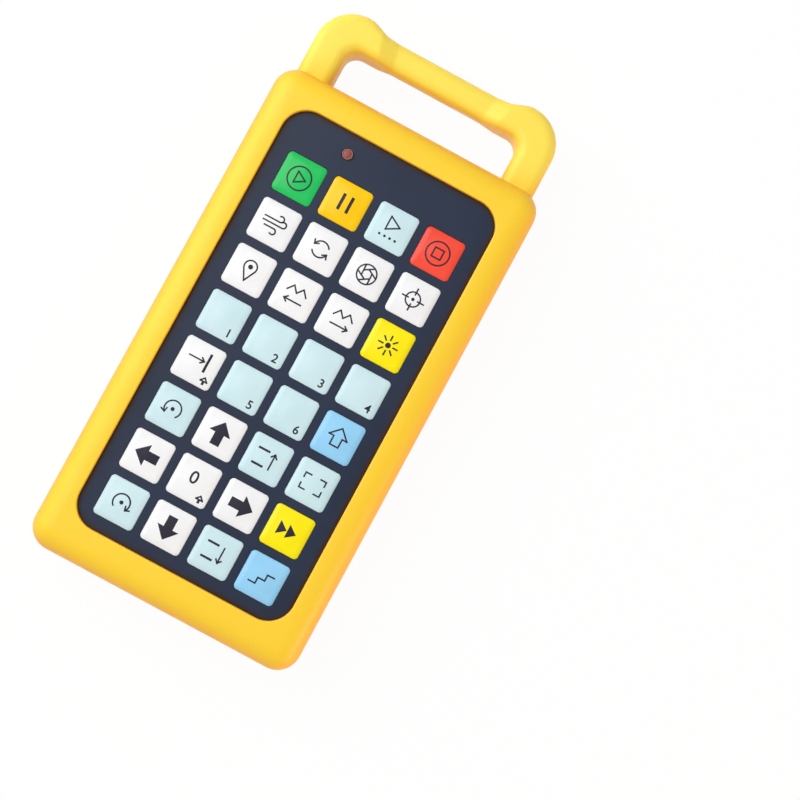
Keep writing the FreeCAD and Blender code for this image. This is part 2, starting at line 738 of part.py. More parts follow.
def make_keypad_layers():
    """The film with its key windows, the spacer with its pockets and the circuit with its tail."""
    body = panel_layer("keypad_overlay", "places.film_low", "places.case_high")
    cut = slab(body, "places.window_cell", "places.window_cell", "places.window_cell_corner",
               "places.film_low", "places.case_high", x="places.first_key_x", y="places.first_key_y",
               make=pocket)
    repeat_per_key(body, cut)
    keep(body, "keypad_overlay")

    body = panel_layer("keypad_spacer", "places.spacer_low", "places.film_low")
    cut = brick(body, "places.pocket_cell", "places.pocket_cell", "places.spacer_low", "places.film_low",
                x="places.first_key_x", y="places.first_key_y", make=pocket)
    repeat_per_key(body, cut)
    keep(body, "keypad_spacer")

    body = panel_layer("keypad_circuit", "places.circuit_low", "places.spacer_low")
    brick(body, "sizes.tail_width", "sizes.circuit_thick", "places.socket_high - sizes.socket_height / 2",
          "places.circuit_low", x="sizes.tail_offset", y="places.tail_slot_y")
    keep(body, "keypad_circuit")


def make_key(label, column, row):
    """One embossed key: a square cell of the film with a low round crown."""
    body = new_body(label)
    slab(body, "sizes.key_size", "sizes.key_size", "sizes.key_corner", "0",
         "places.key_height + sizes.key_rise")
    sketch = new_sketch(body, "XZ_Plane")
    reach, peak = value("sizes.key_size"), value("places.key_height")
    radius = value("sizes.crown_radius")
    fall = radius - (radius**2 - reach**2) ** 0.5
    centre = FreeCAD.Vector(0, peak - radius, 0)
    corners = [
        FreeCAD.Vector(reach, peak - fall, 0),
        FreeCAD.Vector(reach, 2 * peak, 0),
        FreeCAD.Vector(0, 2 * peak, 0),
        FreeCAD.Vector(0, peak, 0),
    ]
    sides = [sketch.addGeometry(Part.LineSegment(*corners[n : n + 2])) for n in range(3)]
    crown = Part.Arc(corners[3], on_circle(centre, radius, reach / 2), corners[0])
    arc = sketch.addGeometry(crown)
    for first, second in zip(sides, sides[1:]):
        sketch.addConstraint(Sketcher.Constraint("Coincident", first, 2, second, 1))
    arc_ends = sorted((1, 2), key=lambda end: sketch.getPoint(arc, end).x)
    sketch.addConstraint(Sketcher.Constraint("Coincident", sides[2], 2, arc, arc_ends[0]))
    sketch.addConstraint(Sketcher.Constraint("Coincident", arc, arc_ends[1], sides[0], 1))
    sketch.addConstraint(Sketcher.Constraint("Vertical", sides[0]))
    sketch.addConstraint(Sketcher.Constraint("Horizontal", sides[1]))
    sketch.addConstraint(Sketcher.Constraint("PointOnObject", arc, 3, -2))
    place_point(sketch, sides[2], 1, "0", "2 * places.key_height")
    place_point(sketch, sides[2], 2, "0", "places.key_height")
    set_size(sketch, Sketcher.Constraint("DistanceX", -1, 1, sides[0], 2, reach), "sizes.key_size")
    set_size(sketch, Sketcher.Constraint("Radius", arc, radius), "sizes.crown_radius")
    doc.recompute()
    before = body.Tip.Shape.Volume
    groove = body.newObject("PartDesign::Groove", "crown")
    groove.Profile = sketch
    groove.ReferenceAxis = (sketch, ["V_Axis"])
    groove.Angle = 360
    doc.recompute()
    if not groove.Shape.Volume < before:
        raise RuntimeError(f"the crown of {label} cuts nothing")
    bind(body, {
        "Placement.Base.x": f"places.first_key_x + {column} * places.pitch",
        "Placement.Base.y": f"places.first_key_y + {ROWS - 1 - row} * places.pitch",
        "Placement.Base.z": "places.film_low",
    })
    keep(body, label)


def on_circle(centre, radius, x):
    """The upper point of a circle at a distance x from its centre."""
    return FreeCAD.Vector(x, centre.y + (radius**2 - x**2) ** 0.5, 0)


def make_keys():
    """All the keys, row by row."""
    for row, labels in enumerate(KEY_ROWS):
        for column, label in enumerate(labels):
            make_key(label, column, row)


def octagon(body, radius, z):
    """An eight-sided outline about the first key of the grid."""
    sketch = new_sketch(body, x="places.first_key_x", y="places.first_key_y", z=z)
    corners = [
        (f"({radius}) * cos({45 * n + 22.5} deg)", f"({radius}) * sin({45 * n + 22.5} deg)")
        for n in range(8)
    ]
    return draw_polygon(sketch, corners)


def make_snap_domes():
    """The snap domes under the keys: shallow eight-sided caps on the circuit sheet."""
    body = new_body("snap_domes")
    outer = [octagon(body, "sizes.dome_foot_radius", "places.spacer_low"),
             octagon(body, "sizes.dome_crown_radius", "places.spacer_low + sizes.dome_height")]
    loft = body.newObject("PartDesign::AdditiveLoft", "cap")
    loft.Profile, loft.Sections, loft.Ruled = outer[0], [outer[1]], True
    inner = [octagon(body, "sizes.dome_foot_radius - sizes.dome_lean", "places.spacer_low"),
             octagon(body, "sizes.dome_crown_radius - sizes.dome_lean",
                     "places.spacer_low + sizes.dome_height - sizes.dome_wall")]
    doc.recompute()
    hollow = body.newObject("PartDesign::SubtractiveLoft", "hollow")
    hollow.Profile, hollow.Sections, hollow.Ruled = inner[0], [inner[1]], True
    doc.recompute()
    repeat_per_key(body)
    keep(body, "snap_domes")


def make_status_lamp():
    """The lamp on the board and the domed light guide over it."""
    block("status_led", "sizes.led_size", "sizes.led_size", "sizes.led_height",
          "places.led_x", "places.led_y", "places.board_high")
    body = new_body("status_lens")
    flange_high = "places.plate_low - sizes.panel_clearance"
    columns(body, "sizes.lens_flange", LAMP, f"{flange_high} - sizes.lens_flange_height", flange_high)
    columns(body, "sizes.lens_diameter", LAMP, flange_high, "places.case_high + sizes.lens_rise")
    round_edges(body, "sizes.lens_round", lies_at("places.case_high + sizes.lens_rise"))
    keep(body, "status_lens")


def block(label, width, length, height, x, y, z, listed=True):
    """A plain box about x and y, standing on z."""
    box = doc.addObject("Part::Box", label)
    bind(box, {
        "Length": width,
        "Width": length,
        "Height": height,
        "Placement.Base.x": f"{x} - ({width}) / 2",
        "Placement.Base.y": f"{y} - ({length}) / 2",
        "Placement.Base.z": z,
    })
    return keep(box, label) if listed else box


def make_main_board():
    """The circuit board, with holes for its screws, the bosses and the contact tails."""
    body = new_body("main_board")
    brick(body, "places.board_width", "places.board_length", "places.board_low", "places.board_high",
          y="places.board_mid_y")
    columns(body, "sizes.board_screw_shank + 2 * sizes.door_clearance", BOARD_POSTS,
            "places.board_low", "places.board_high", make=pocket)
    columns(body, "sizes.boss_diameter + 2 * sizes.slot_room",
            mirrored_pair("places.boss_x", "places.boss_high_y"),
            "places.board_low", "places.board_high", make=pocket)
    for side in ("places.cell_x", "-places.cell_x"):
        brick(body, "sizes.contact_width + sizes.slot_room", "sizes.contact_thick + sizes.slot_room",
              "places.board_low", "places.board_high", x=side,
              y="places.tail_y + sizes.contact_thick / 2", make=pocket)
    keep(body, "main_board")


def make_board_parts():
    """What stands on the board: the chip, the radio, the tail socket and small components."""
    block("controller_chip", "sizes.chip_size", "sizes.chip_size", "sizes.chip_height",
          "-sizes.chip_size", "places.board_mid_y", "places.board_high")
    radio_x = "(places.board_width - sizes.radio_width) / 2 - sizes.radio_edge"
    block("radio_module", "sizes.radio_width", "sizes.radio_length", "sizes.radio_thick",
          radio_x, "places.board_mid_y", "places.board_high")
    block("radio_shield", "sizes.shield_width", "sizes.shield_length", "sizes.shield_height", radio_x,
          "places.board_mid_y - (sizes.radio_length - sizes.shield_length) / 4",
          "places.board_high + sizes.radio_thick")
    body = new_body("tail_connector")
    brick(body, "sizes.socket_width", "sizes.socket_depth", "places.board_high", "places.socket_high",
          x="sizes.tail_offset", y="places.tail_slot_y")
    brick(body, "sizes.tail_width + sizes.slot_room", "sizes.circuit_thick + sizes.slot_room",
          "places.socket_high - 2 * sizes.socket_height / 3", "places.socket_high",
          x="sizes.tail_offset", y="places.tail_slot_y", make=pocket)
    keep(body, "tail_connector")
    # Capacitors in two rows beside the chip, and a crystal at its end
    small = [
        block(f"capacitor_{row}_{place}", "sizes.led_size / 2", "sizes.led_size", "sizes.led_height",
              f"-sizes.chip_size * (2 + {row} / 2)",
              f"places.board_mid_y + {place} * sizes.chip_size / 2",
              "places.board_high", listed=False)
        for row in range(2)
        for place in range(-2, 3)
    ]
    small.append(
        block("crystal", "sizes.chip_size / 2", "sizes.led_size", "sizes.chip_height", "-sizes.chip_size",
              "places.board_mid_y - sizes.chip_size", "places.board_high", listed=False)
    )
    group = doc.addObject("Part::Compound", "board_components")
    group.Links = small
    keep(group, "board_components")


def make_cell(label, x, y, turn):
    """A round cell lying along Y, with its button end away from its placement."""
    body = new_body(label)
    radius, edge = "sizes.cell_diameter / 2", "sizes.cell_edge"
    shoulder = "sizes.cell_length - sizes.cell_button_height"
    outline = [
        ("0", "0"),
        (f"{radius} - {edge}", "0"),
        (radius, edge),
        (radius, f"{shoulder} - {edge}"),
        (f"{radius} - {edge}", shoulder),
        ("sizes.cell_button / 2", shoulder),
        ("sizes.cell_button / 2", "sizes.cell_length"),
        ("0", "sizes.cell_length"),
    ]
    sketch = draw_polygon(new_sketch(body), outline)
    turned = body.newObject("PartDesign::Revolution", "can")
    turned.Profile = sketch
    turned.ReferenceAxis = (sketch, ["V_Axis"])
    turned.Angle = 360
    body.Placement.Rotation = FreeCAD.Rotation(FreeCAD.Vector(0, 0, 1), turn)
    bind(body, {"Placement.Base.x": x, "Placement.Base.y": y, "Placement.Base.z": "places.cell_axis"})
    keep(body, label)


def leaf(body, x, y, high, inward, sprung):
    """A contact strip against an end wall of the bay, with a bent leaf where it is sprung."""
    thick, low = "sizes.contact_thick", "places.contact_low"
    face = f"{inward} * {thick}"
    outline = [("0", low), (face, low)]
    if sprung:
        reach = f"{inward} * (sizes.spring_room - sizes.contact_gap)"
        outline += [
            (face, f"{low} + sizes.contact_foot - {thick}"),
            (reach, f"places.cell_axis - {thick}"),
            (reach, f"places.cell_axis + {thick}"),
            (f"{reach} - {face}", f"places.cell_axis + {thick}"),
            (f"{reach} - {face}", "places.cell_axis"),
            (face, f"{low} + sizes.contact_foot + {thick}"),
        ]
    outline += [(face, high), ("0", high)]
    sketch = draw_polygon(new_sketch(body, "YZ_Plane", x=x, y=y), outline)
    pad(body, sketch, "sizes.contact_width", both_ways=True)


def make_contacts():
    """The battery contacts: two with tails to the board and a bridge at the lower end."""
    for label, side, sprung in (
        ("contact_positive", "-places.cell_x", False),
        ("contact_negative", "places.cell_x", True),
    ):
        body = new_body(label)
        leaf(body, side, "places.bay_high_y", "places.contact_high", -1, sprung)
        thick = "sizes.contact_thick"
        brick(body, "sizes.contact_width", f"sizes.tail_rise + {thick}",
              f"places.contact_high - {thick}", "places.contact_high", x=side,
              y=f"places.bay_high_y + (sizes.tail_rise + {thick}) / 2")
        brick(body, "sizes.contact_width", thick, "places.contact_high - sizes.contact_thick",
              "places.board_high + sizes.slot_room", x=side, y=f"places.tail_y + {thick} / 2")
        keep(body, label)
    body = new_body("contact_bridge")
    strip_high = "places.bridge_high"
    leaf(body, "-places.cell_x", "places.bay_low_y", strip_high, 1, True)
    leaf(body, "places.cell_x", "places.bay_low_y", strip_high, 1, False)
    brick(body, "2 * places.cell_x", "sizes.contact_thick", f"{strip_high} - sizes.contact_foot", strip_high,
          y="places.bay_low_y + sizes.contact_thick / 2")
    keep(body, "contact_bridge")


def make_battery_door():
    """The door: a plate with a round hinge end, tabs that hook inside the case and a latch."""
    body = new_body("battery_door")
    plate_length = "(places.hinge_y - places.door_low_y)"
    slab(body, "places.door_width", plate_length, "sizes.door_corner", "places.case_low",
         "places.door_high", y=f"places.door_low_y + {plate_length} / 2")
    hinge = [("places.hinge_y", "places.hinge_z")]
    barrel = draw_circles(new_sketch(body, "YZ_Plane"), "sizes.door_thick", hinge)
    pad(body, barrel, "places.door_width - 2 * sizes.door_corner", both_ways=True)
    root_low, tab_end = "places.hinge_y - sizes.tab_root", "places.door_high_y + sizes.tab_reach"
    tab_high = "places.tab_low + sizes.tab_thick"
    hook = [
        (root_low, "places.hinge_z"),
        ("places.hinge_y", "places.hinge_z"),
        ("places.hinge_y", "places.tab_low"),
        (tab_end, "places.tab_low"),
        (tab_end, tab_high),
        (root_low, tab_high),
    ]
    for side in ("places.tab_x", "-places.tab_x"):
        sketch = draw_polygon(new_sketch(body, "YZ_Plane", x=side), hook)
        pad(body, sketch, "sizes.tab_width", both_ways=True)
    brick(body, "sizes.latch_width", "sizes.latch_thick", "places.hinge_z",
          "places.door_high + sizes.latch_height",
          y="places.bay_low_y + sizes.latch_room + sizes.latch_thick / 2")
    for rib in range(3):
        slab(body, "sizes.grip_width", "sizes.grip_thick * 2", "sizes.grip_thick / 2", "places.case_low",
             "places.case_low + sizes.grip_depth",
             y=f"places.door_low_y + {rib + 2} * sizes.grip_spacing", make=pocket)
    keep(body, "battery_door")


def make_screws(label, head, head_height, shank, length, seat, centres_x, first_y, run):
    """Four equal screws with their heads down, on the corners of a rectangle."""
    body = new_body(label)
    outline = [
        ("0", f"-{head_height}"),
        (f"{head} / 2", f"-{head_height}"),
        (f"{head} / 2", "0"),
        (f"{shank} / 2", "0"),
        (f"{shank} / 2", length),
        ("0", length),
    ]
    sketch = draw_polygon(new_sketch(body, "XZ_Plane", x=f"-{centres_x}", y=first_y, z=seat), outline)
    turned = body.newObject("PartDesign::Revolution", "screw")
    turned.Profile = sketch
    turned.ReferenceAxis = (sketch, ["V_Axis"])
    turned.Angle = 360
    repeat(body, f"2 * {centres_x}", run, 2, 2)
    keep(body, label)


def make_all_screws():
    """The screws that close the case and the ones that hold the board to its posts."""
    make_screws("case_screws", "sizes.case_screw_head", "sizes.case_screw_head_height",
                "sizes.case_screw_shank", "sizes.case_screw_length", "places.screw_seat",
                "places.boss_x", "places.boss_low_y", "places.boss_run")
    make_screws("board_screws", "sizes.board_screw_head", "sizes.board_screw_head_height",
                "sizes.board_screw_shank", "sizes.board_screw_length", "places.board_low",
                "places.post_x", "places.post_low_y", "places.post_high_y - places.post_low_y")


def export_parts():
    """Check every object and write each finished sub-part to its own file."""
    doc.recompute()
    failed = [item.Name for item in doc.Objects if {"Invalid", "Error"} & set(item.State)]
    if failed:
        raise RuntimeError(f"failed to build: {failed}")
    for thing in finished:
        if thing.Shape.isNull() or not thing.Shape.isValid() or not thing.Shape.Solids:
            raise RuntimeError(f"{thing.Label} has no sound shape")
    os.makedirs("parts", exist_ok=True)
    for thing in finished:
        thing.Shape.exportStep(f"parts/{thing.Label}.step")


make_jacket()
make_front_shell()
make_rear_shell()
make_keypad_layers()
make_keys()
make_snap_domes()
make_status_lamp()
make_main_board()
make_board_parts()
make_cell("battery_cell_left", "-places.cell_x", "places.bay_low_y + sizes.spring_room", 0)
make_cell("battery_cell_right", "places.cell_x", "places.bay_high_y - sizes.spring_room", 180)
make_contacts()
make_battery_door()
make_all_screws()
export_parts()
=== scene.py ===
"""Keypad handset in a silicone jacket: its looks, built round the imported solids.

X runs across the keypad, Y along it towards the handle and Z out of the keys. A mesh is drawn in
millimetres and is brought to metres when its piece is made.
"""
import logging
import math
from abc import ABC, abstractmethod
from dataclasses import dataclass
from enum import Enum
from functools import cached_property

import bmesh
import bpy
from mathutils import Matrix, Vector


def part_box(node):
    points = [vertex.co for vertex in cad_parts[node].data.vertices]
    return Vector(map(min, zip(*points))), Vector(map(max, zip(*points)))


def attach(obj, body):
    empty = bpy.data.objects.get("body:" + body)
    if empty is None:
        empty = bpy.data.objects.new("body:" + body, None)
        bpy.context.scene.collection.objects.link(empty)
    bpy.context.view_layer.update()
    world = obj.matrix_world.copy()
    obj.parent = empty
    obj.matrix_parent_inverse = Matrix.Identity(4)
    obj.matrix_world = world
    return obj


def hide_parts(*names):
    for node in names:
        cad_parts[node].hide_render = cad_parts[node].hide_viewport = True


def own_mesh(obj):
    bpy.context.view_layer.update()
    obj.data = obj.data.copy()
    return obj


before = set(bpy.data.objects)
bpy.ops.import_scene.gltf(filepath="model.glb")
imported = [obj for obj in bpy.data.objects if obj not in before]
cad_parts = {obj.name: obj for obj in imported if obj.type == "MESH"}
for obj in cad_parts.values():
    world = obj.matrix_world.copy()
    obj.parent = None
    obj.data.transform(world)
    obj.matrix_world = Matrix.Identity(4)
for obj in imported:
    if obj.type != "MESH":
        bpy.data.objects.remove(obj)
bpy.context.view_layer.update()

# Metres in a millimetre, and how many millimetres apart two points still count as one
MM = 0.001
SAME_POINT = 0.001
PEN_WIDTH = 0.55
HANDSET = "handset"
ACROSS = Vector((1, 0, 0))
ALONG = Vector((0, 1, 0))
UP = Vector((0, 0, 1))
log = logging.getLogger("handset")

Point = tuple[float, float]
Point3 = tuple[float, float, float]
Mesh = bmesh.types.BMesh
Loop = list[bmesh.types.BMEdge]
Piece = bpy.types.Object
Tree = bpy.types.NodeTree
Socket = bpy.types.NodeSocket


def linear(hex_colour: str) -> tuple[float, float, float, float]:
    """Turns an sRGB hex value into the linear colour that a shader takes.

    Args:
        hex_colour: a hash sign and six hex digits.

    Returns:
        Red, green, blue and alpha.
    """
    channels = [int(hex_colour[at : at + 2], 16) / 255 for at in (1, 3, 5)]
    red, green, blue = (c / 12.92 if c <= 0.04045 else ((c + 0.055) / 1.055) ** 2.4 for c in channels)
    return red, green, blue, 1.0


def add_node(tree: Tree, kind: str, inputs: dict | None = None, **settings: object) -> bpy.types.Node:
    """Adds one node to a tree.

    Args:
        tree: the tree that gets the node.
        kind: the node's type.
        inputs: for each input by name or number, its value or the output that feeds it.
        settings: the node's own properties.

    Returns:
        The new node.
    """
    node = tree.nodes.new(kind)
    for name, value in settings.items():
        setattr(node, name, value)
    for name, value in (inputs or {}).items():
        if isinstance(value, Socket):
            tree.links.new(value, node.inputs[name])
        else:
            node.inputs[name].default_value = value
    return node


@dataclass
class Surface:
    """One material's nodes, and the ways to vary its shader over the piece. Pattern sizes are in mm.

    The values of a random pattern lie mostly between faint and strong.
    """

    tree: Tree
    shader: bpy.types.Node
    faint: float = 0.3
    strong: float = 0.7
    tint_detail: float = 3
    gloss_detail: float = 2
    grain_detail: float = 1

    @cached_property
    def place(self) -> bpy.types.NodeOutputs:
        """The piece's own coordinates."""
        return add_node(self.tree, "ShaderNodeTexCoord").outputs

    def feed(self, socket: str, value: Socket) -> None:
        """Links an output to one of the shader's sockets."""
        self.tree.links.new(value, self.shader.inputs[socket])

    def blotches(self, size: Point | float, detail: float) -> Socket:
        """A soft random pattern.

        Args:
            size: the blotches' spacing, or their spacing across and along Y.
            detail: how many finer layers are laid over them.

        Returns:
            The output, with values round one half.
        """
        across, along = size if isinstance(size, tuple) else (size, size)
        scale = [1 / (length * MM) for length in (across, along, across)]
        spread = add_node(self.tree, "ShaderNodeMapping", {"Vector": self.place["Object"], "Scale": scale})
        noise = {"Vector": spread.outputs[0], "Scale": 1.0, "Detail": detail}
        return add_node(self.tree, "ShaderNodeTexNoise", noise).outputs["Fac"]

    def drift(self, size: float, detail: float, low: float, high: float) -> Socket:
        """A random pattern between two levels, in blotches of a size and a detail."""
        noise = {"Value": self.blotches(size, detail), "From Min": self.faint, "From Max": self.strong}
        return add_node(self.tree, "ShaderNodeMapRange", noise | {"To Min": low, "To Max": high}).outputs[0]

    def outside(self, middle: Vector, half: Vector) -> Socket:
        """How far a point lies outside a rectangle, seen from above.

        Args:
            middle: the rectangle's middle.
            half: half its size.

        Returns:
            The output with the distance in metres, 0 inside.
        """
        sums = (
            ("SUBTRACT", middle),
            ("ABSOLUTE", Vector()),
            ("SUBTRACT", half),
            ("MAXIMUM", Vector()),
            ("MULTIPLY", ACROSS + ALONG),
        )
        place = self.place["Object"]
        for operation, by in sums:
            result = add_node(self.tree, "ShaderNodeVectorMath", {0: place, 1: by}, operation=operation)
            place = result.outputs[0]
        return add_node(self.tree, "ShaderNodeVectorMath", {0: place}, operation="LENGTH").outputs["Value"]

    def lay(self, share: Socket, colour: str) -> None:
        """Lays another colour over the one that is there.

        Args:
            share: the output with the share of it that shows.
            colour: the other colour.
        """
        base = self.shader.inputs["Base Color"]
        below = base.links[0].from_socket if base.is_linked else base.default_value[:]
        colours = {"Factor": share, "A": below, "B": linear(colour)}
        mixed = add_node(self.tree, "ShaderNodeMix", colours, data_type="RGBA")
        self.feed("Base Color", mixed.outputs["Result"])

    def tint(self, size: float, colour: str, share: float) -> None:
        """Lets the colour drift towards another one in blotches of a size, by a share at most."""
        self.lay(self.drift(size, self.tint_detail, 0, share), colour)

    def shift(self, value: Socket, span: Point, colour: str, share: float = 1) -> None:
        """Turns the colour that is there to another one as a value goes through a span.

        Args:
            value: the output that holds the value.
            span: the value where the turn starts, and where it is complete.
            colour: the other colour.
            share: the most of it that shows.
        """
        level = {"Value": value, "From Min": span[0], "From Max": span[1], "To Max": share}
        amount = add_node(self.tree, "ShaderNodeMapRange", level, interpolation_type="SMOOTHSTEP")
        self.lay(amount.outputs[0], colour)

    def polish(self, size: float, roughness: float, spread: float) -> None:
        """Lets the roughness drift in patches of a size, by a spread either way."""
        self.feed("Roughness", self.drift(size, self.gloss_detail, roughness - spread, roughness + spread))

    def emboss(self, height: Socket, depth: float) -> None:
        """Raises a pattern on the surface, over any that it has.

        Args:
            height: the output with the pattern.
            depth: its height in mm.
        """
        bump = add_node(self.tree, "ShaderNodeBump", {"Height": height, "Distance": depth * MM})
        below = self.shader.inputs["Normal"].links
        if below:
            self.tree.links.new(below[0].from_socket, bump.inputs["Normal"])
        self.feed("Normal", bump.outputs[0])

    def grain(self, size: Point | float, depth: float) -> None:
        """Raises a fine random grain of a size and a height."""
        self.emboss(self.blotches(size, self.grain_detail), depth)


@dataclass(frozen=True)
class Finish:
    """A surface as its maker leaves it, drawn as one procedural material. Pattern sizes are in mm.

    Its colour drifts towards another one in patches, its gloss drifts as well, and a grain stands on it.
    """

    name: str
    colour: str
    roughness: float = 0.5
    metallic: float = 0.0
    ior: float = 1.5
    specular: float = 0.5
    other: str = "#000000"
    share: float = 0.35
    patch: float = 10
    gloss_patch: float = 5
    gloss_spread: float = 0.05
    grain: Point | float = 0.5
    grain_depth: float = 0.0

    def sockets(self) -> dict[str, object]:
        """Other shader values that are the same all over the surface."""
        return {}

    def dress(self, surface: Surface) -> None:
        """Draws what varies over the surface.

        Args:
            surface: the material's nodes.
        """
        surface.tint(self.patch, self.other, self.share)
        surface.polish(self.gloss_patch, self.roughness, self.gloss_spread)
        if self.grain_depth:
            surface.grain(self.grain, self.grain_depth)

    def material(self) -> bpy.types.Material:
        """The material, made the first time that it is asked for.

        Returns:
            The material of this finish's name.
        """
        known = bpy.data.materials.get(self.name)
        if known:
            return known
        material = bpy.data.materials.new(self.name)
        material.use_nodes = True
        material.diffuse_color = linear(self.colour)
        shader = material.node_tree.nodes["Principled BSDF"]
        fixed = {
            "Base Color": linear(self.colour),
            "Roughness": self.roughness,
            "Metallic": self.metallic,
            "IOR": self.ior,
            "Specular IOR Level": self.specular,
            **self.sockets(),
        }
        for name, value in fixed.items():
            shader.inputs[name].default_value = value
        self.dress(Surface(material.node_tree, shader))
        return material


@dataclass(frozen=True)
class Silicone(Finish):
    """Moulded silicone rubber: a satin skin that lets light in a little, with painted light that pales it
    towards the handle and painted shade that deepens it on the sides.
    """

    ior: float = 1.41
    other: str = "#FFC22D"
    share: float = 0.12
    patch: float = 45
    gloss_patch: float = 14
    # The mould's real grain is too fine to show, so it is drawn several times as coarse
    grain: float = 0.7
    grain_depth: float = 0.006
    wave: float = 9
    wave_depth: float = 0.05
    # Painted shade: a deeper orange laid on the sides, by how far they turn away from facing up
    side: str = "#FFB41C"
    flat_facing: float = 1.0
    side_facing: float = 0.3
    # Painted light: a paler yellow over the handle, and by a share over its painted side shade
    slim: str = "#FFE356"
    slim_from: float = 76
    slim_to: float = 92
    slim_sides: float = 0.7
    light_depth: float = 2.0

    def sockets(self) -> dict[str, object]:
        """Light goes furthest in red, and the skin has a faint dusty sheen."""
        return {
            "Subsurface Weight": 0.15,
            "Subsurface Radius": (1.0, 0.25, 0.06),
            "Subsurface Scale": self.light_depth * MM,
            "Sheen Weight": 0.05,
            "Sheen Roughness": 0.4,
        }

    def dress(self, surface: Surface) -> None:
        """Painted light that pales the colour towards the handle, painted shade that deepens it on the
        sides, and slow waves in the skin.

        Args:
            surface: the material's nodes.
        """
        super().dress(surface)
        along, facing = (
            add_node(surface.tree, "ShaderNodeSeparateXYZ", {"Vector": surface.place[kind]}).outputs[axis]
            for kind, axis in (("Object", "Y"), ("Normal", "Z"))
        )
        level = add_node(surface.tree, "ShaderNodeMath", {0: facing}, operation="ABSOLUTE").outputs[0]
        handle = (self.slim_from * MM, self.slim_to * MM)
        # Painted light: paler towards the handle, laid again by a share after the painted side shade
        surface.shift(along, handle, self.slim)
        # Painted shade: the deeper orange where the surface turns from facing up to facing sideways
        surface.shift(level, (self.flat_facing, self.side_facing), self.side)
        surface.shift(along, handle, self.slim, self.slim_sides)
        surface.grain(self.wave, self.wave_depth)


@dataclass(frozen=True)
class PrintedFilm(Finish):
    """Polyester film printed on its back: even colour under a fine velvet skin that scatters the gloss."""

    specular: float = 0.25
    share: float = 0.4
    patch: float = 22
    gloss_patch: float = 8
    gloss_spread: float = 0.04
    # The velvet's real grain is a few hundredths of a millimetre, drawn coarser so that it shows
    grain: float = 0.35
    grain_depth: float = 0.003


@dataclass(frozen=True)
class KeyFilm(PrintedFilm):
    """The keys' film, drawn smoother and glossier by its embossing."""

    roughness: float = 0.26
    specular: float = 0.28
    share: float = 0.45


@dataclass(frozen=True)
class BorderedFilm(PrintedFilm):
    """The panel's film, with a painted shadow of the jacket's lip: a soft dark brown band along its edge,
    brown for the lip's painted warm reflection.
    """

    share: float = 0.5
    node: str = ""
    # Painted shadow of the jacket's lip, dark brown for the lip's painted warm reflection in the film
    border: str = "#38220F"
    border_width: float = 5.6
    border_blur: float = 2.3
    corner: float = 12

    def dress(self, surface: Surface) -> None:
        """The printed film, and the painted lip shadow by the distance from the film's edge.

        Args:
            surface: the material's nodes.
        """
        super().dress(surface)
        low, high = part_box(self.node)
        inner = (high - low) / 2 - (ACROSS + ALONG) * self.corner * MM
        line = (self.corner - self.border_width) * MM
        span = (line, line + self.border_blur * MM)
        surface.shift(surface.outside((low + high) / 2, inner), span, self.border)


@dataclass(frozen=True)
class MouldedPlastic(Finish):
    """Injection-moulded plastic from a spark-eroded tool: small even pits and a low sheen."""

    ior: float = 1.53
    other: str = "#3A3A40"
    patch: float = 0.9
    gloss_patch: float = 6
    gloss_spread: float = 0.06
    # Real pits are about a third as wide, too fine to show
    grain: float = 0.45
    grain_depth: float = 0.02


@dataclass(frozen=True)
class FineMoulding(MouldedPlastic):
    """Small mouldings from a smoother tool, with finer pits."""

    patch: float = 0.4
    grain: float = 0.2
    grain_depth: float = 0.008


@dataclass(frozen=True)
class SheetMetal(Finish):
    """Rolled and plated metal: fine lines along the strip, faint tarnish and an uneven gleam."""

    metallic: float = 1.0
    other: str = "#8A8478"
    patch: float = 3
    gloss_patch: float = 1.5
    gloss_spread: float = 0.08
    # Rolling leaves finer lines than these, which are as fine as can show
    grain: Point = (0.12, 6)
    grain_depth: float = 0.004


@dataclass(frozen=True)
class ClearTint(Finish):
    """Tinted clear plastic: a polished, slightly uneven body that light goes into."""

    ior: float = 1.49
    other: str = "#8E2F28"
    share: float = 0.4
    patch: float = 1.2
    gloss_patch: float = 1
    light_depth: float = 1.2

    def sockets(self) -> dict[str, object]:
        """A clear skin over a body that light goes into."""
        return {
            "Subsurface Weight": 0.5,
            "Subsurface Radius": (1.0, 0.2, 0.12),
            "Subsurface Scale": self.light_depth * MM,
            "Coat Weight": 0.15,
            "Coat Roughness": 0.3,
        }


@dataclass(frozen=True)
class RimmedTint(ClearTint):
    """A tinted window with a painted highlight: a paler ring towards its rim."""

    node: str = ""
    # Painted highlight: the paler colour of the ring round the window's rim
    rim: str = "#96706A"
    rim_from: float = 1.1
    rim_to: float = 1.7

    def dress(self, surface: Surface) -> None:
        """The tint, and the painted rim highlight by the distance from the window's middle.

        Args:
            surface: the material's nodes.
        """
        super().dress(surface)
        low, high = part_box(self.node)
        reach = surface.outside((low + high) / 2, Vector())
        surface.shift(reach, (self.rim_from * MM, self.rim_to * MM), self.rim)


@dataclass(frozen=True)
class Laminate(Finish):
    """Etched sheet: conductors under its skin, in regular runs a shade off the ground colour."""

    ior: float = 1.55
    gloss_patch: float = 4
    gloss_spread: float = 0.06
    track: str = "#2F7A45"
    pitch: float = 2.54
    track_width: float = 0.5
    track_depth: float = 0.02
    track_edge: float = 0.1
    run: float = 5

    def dress(self, surface: Surface) -> None:
        """Conductors in staggered runs of a few pitches, standing a little proud.

        Args:
            surface: the material's nodes.
        """
        pattern = {
            "Vector": surface.place["Object"],
            "Color1": linear(self.colour),
            "Color2": linear(self.colour),
            "Mortar": linear(self.track),
            "Scale": 1.0,
            "Mortar Size": self.track_width / 2 * MM,
            "Mortar Smooth": self.track_edge,
            "Brick Width": self.pitch * self.run * MM,
            "Row Height": self.pitch * MM,
        }
        tracks = add_node(surface.tree, "ShaderNodeTexBrick", pattern).outputs
        surface.feed("Base Color", tracks["Color"])
        surface.polish(self.gloss_patch, self.roughness, self.gloss_spread)
        surface.emboss(tracks["Fac"], self.track_depth)


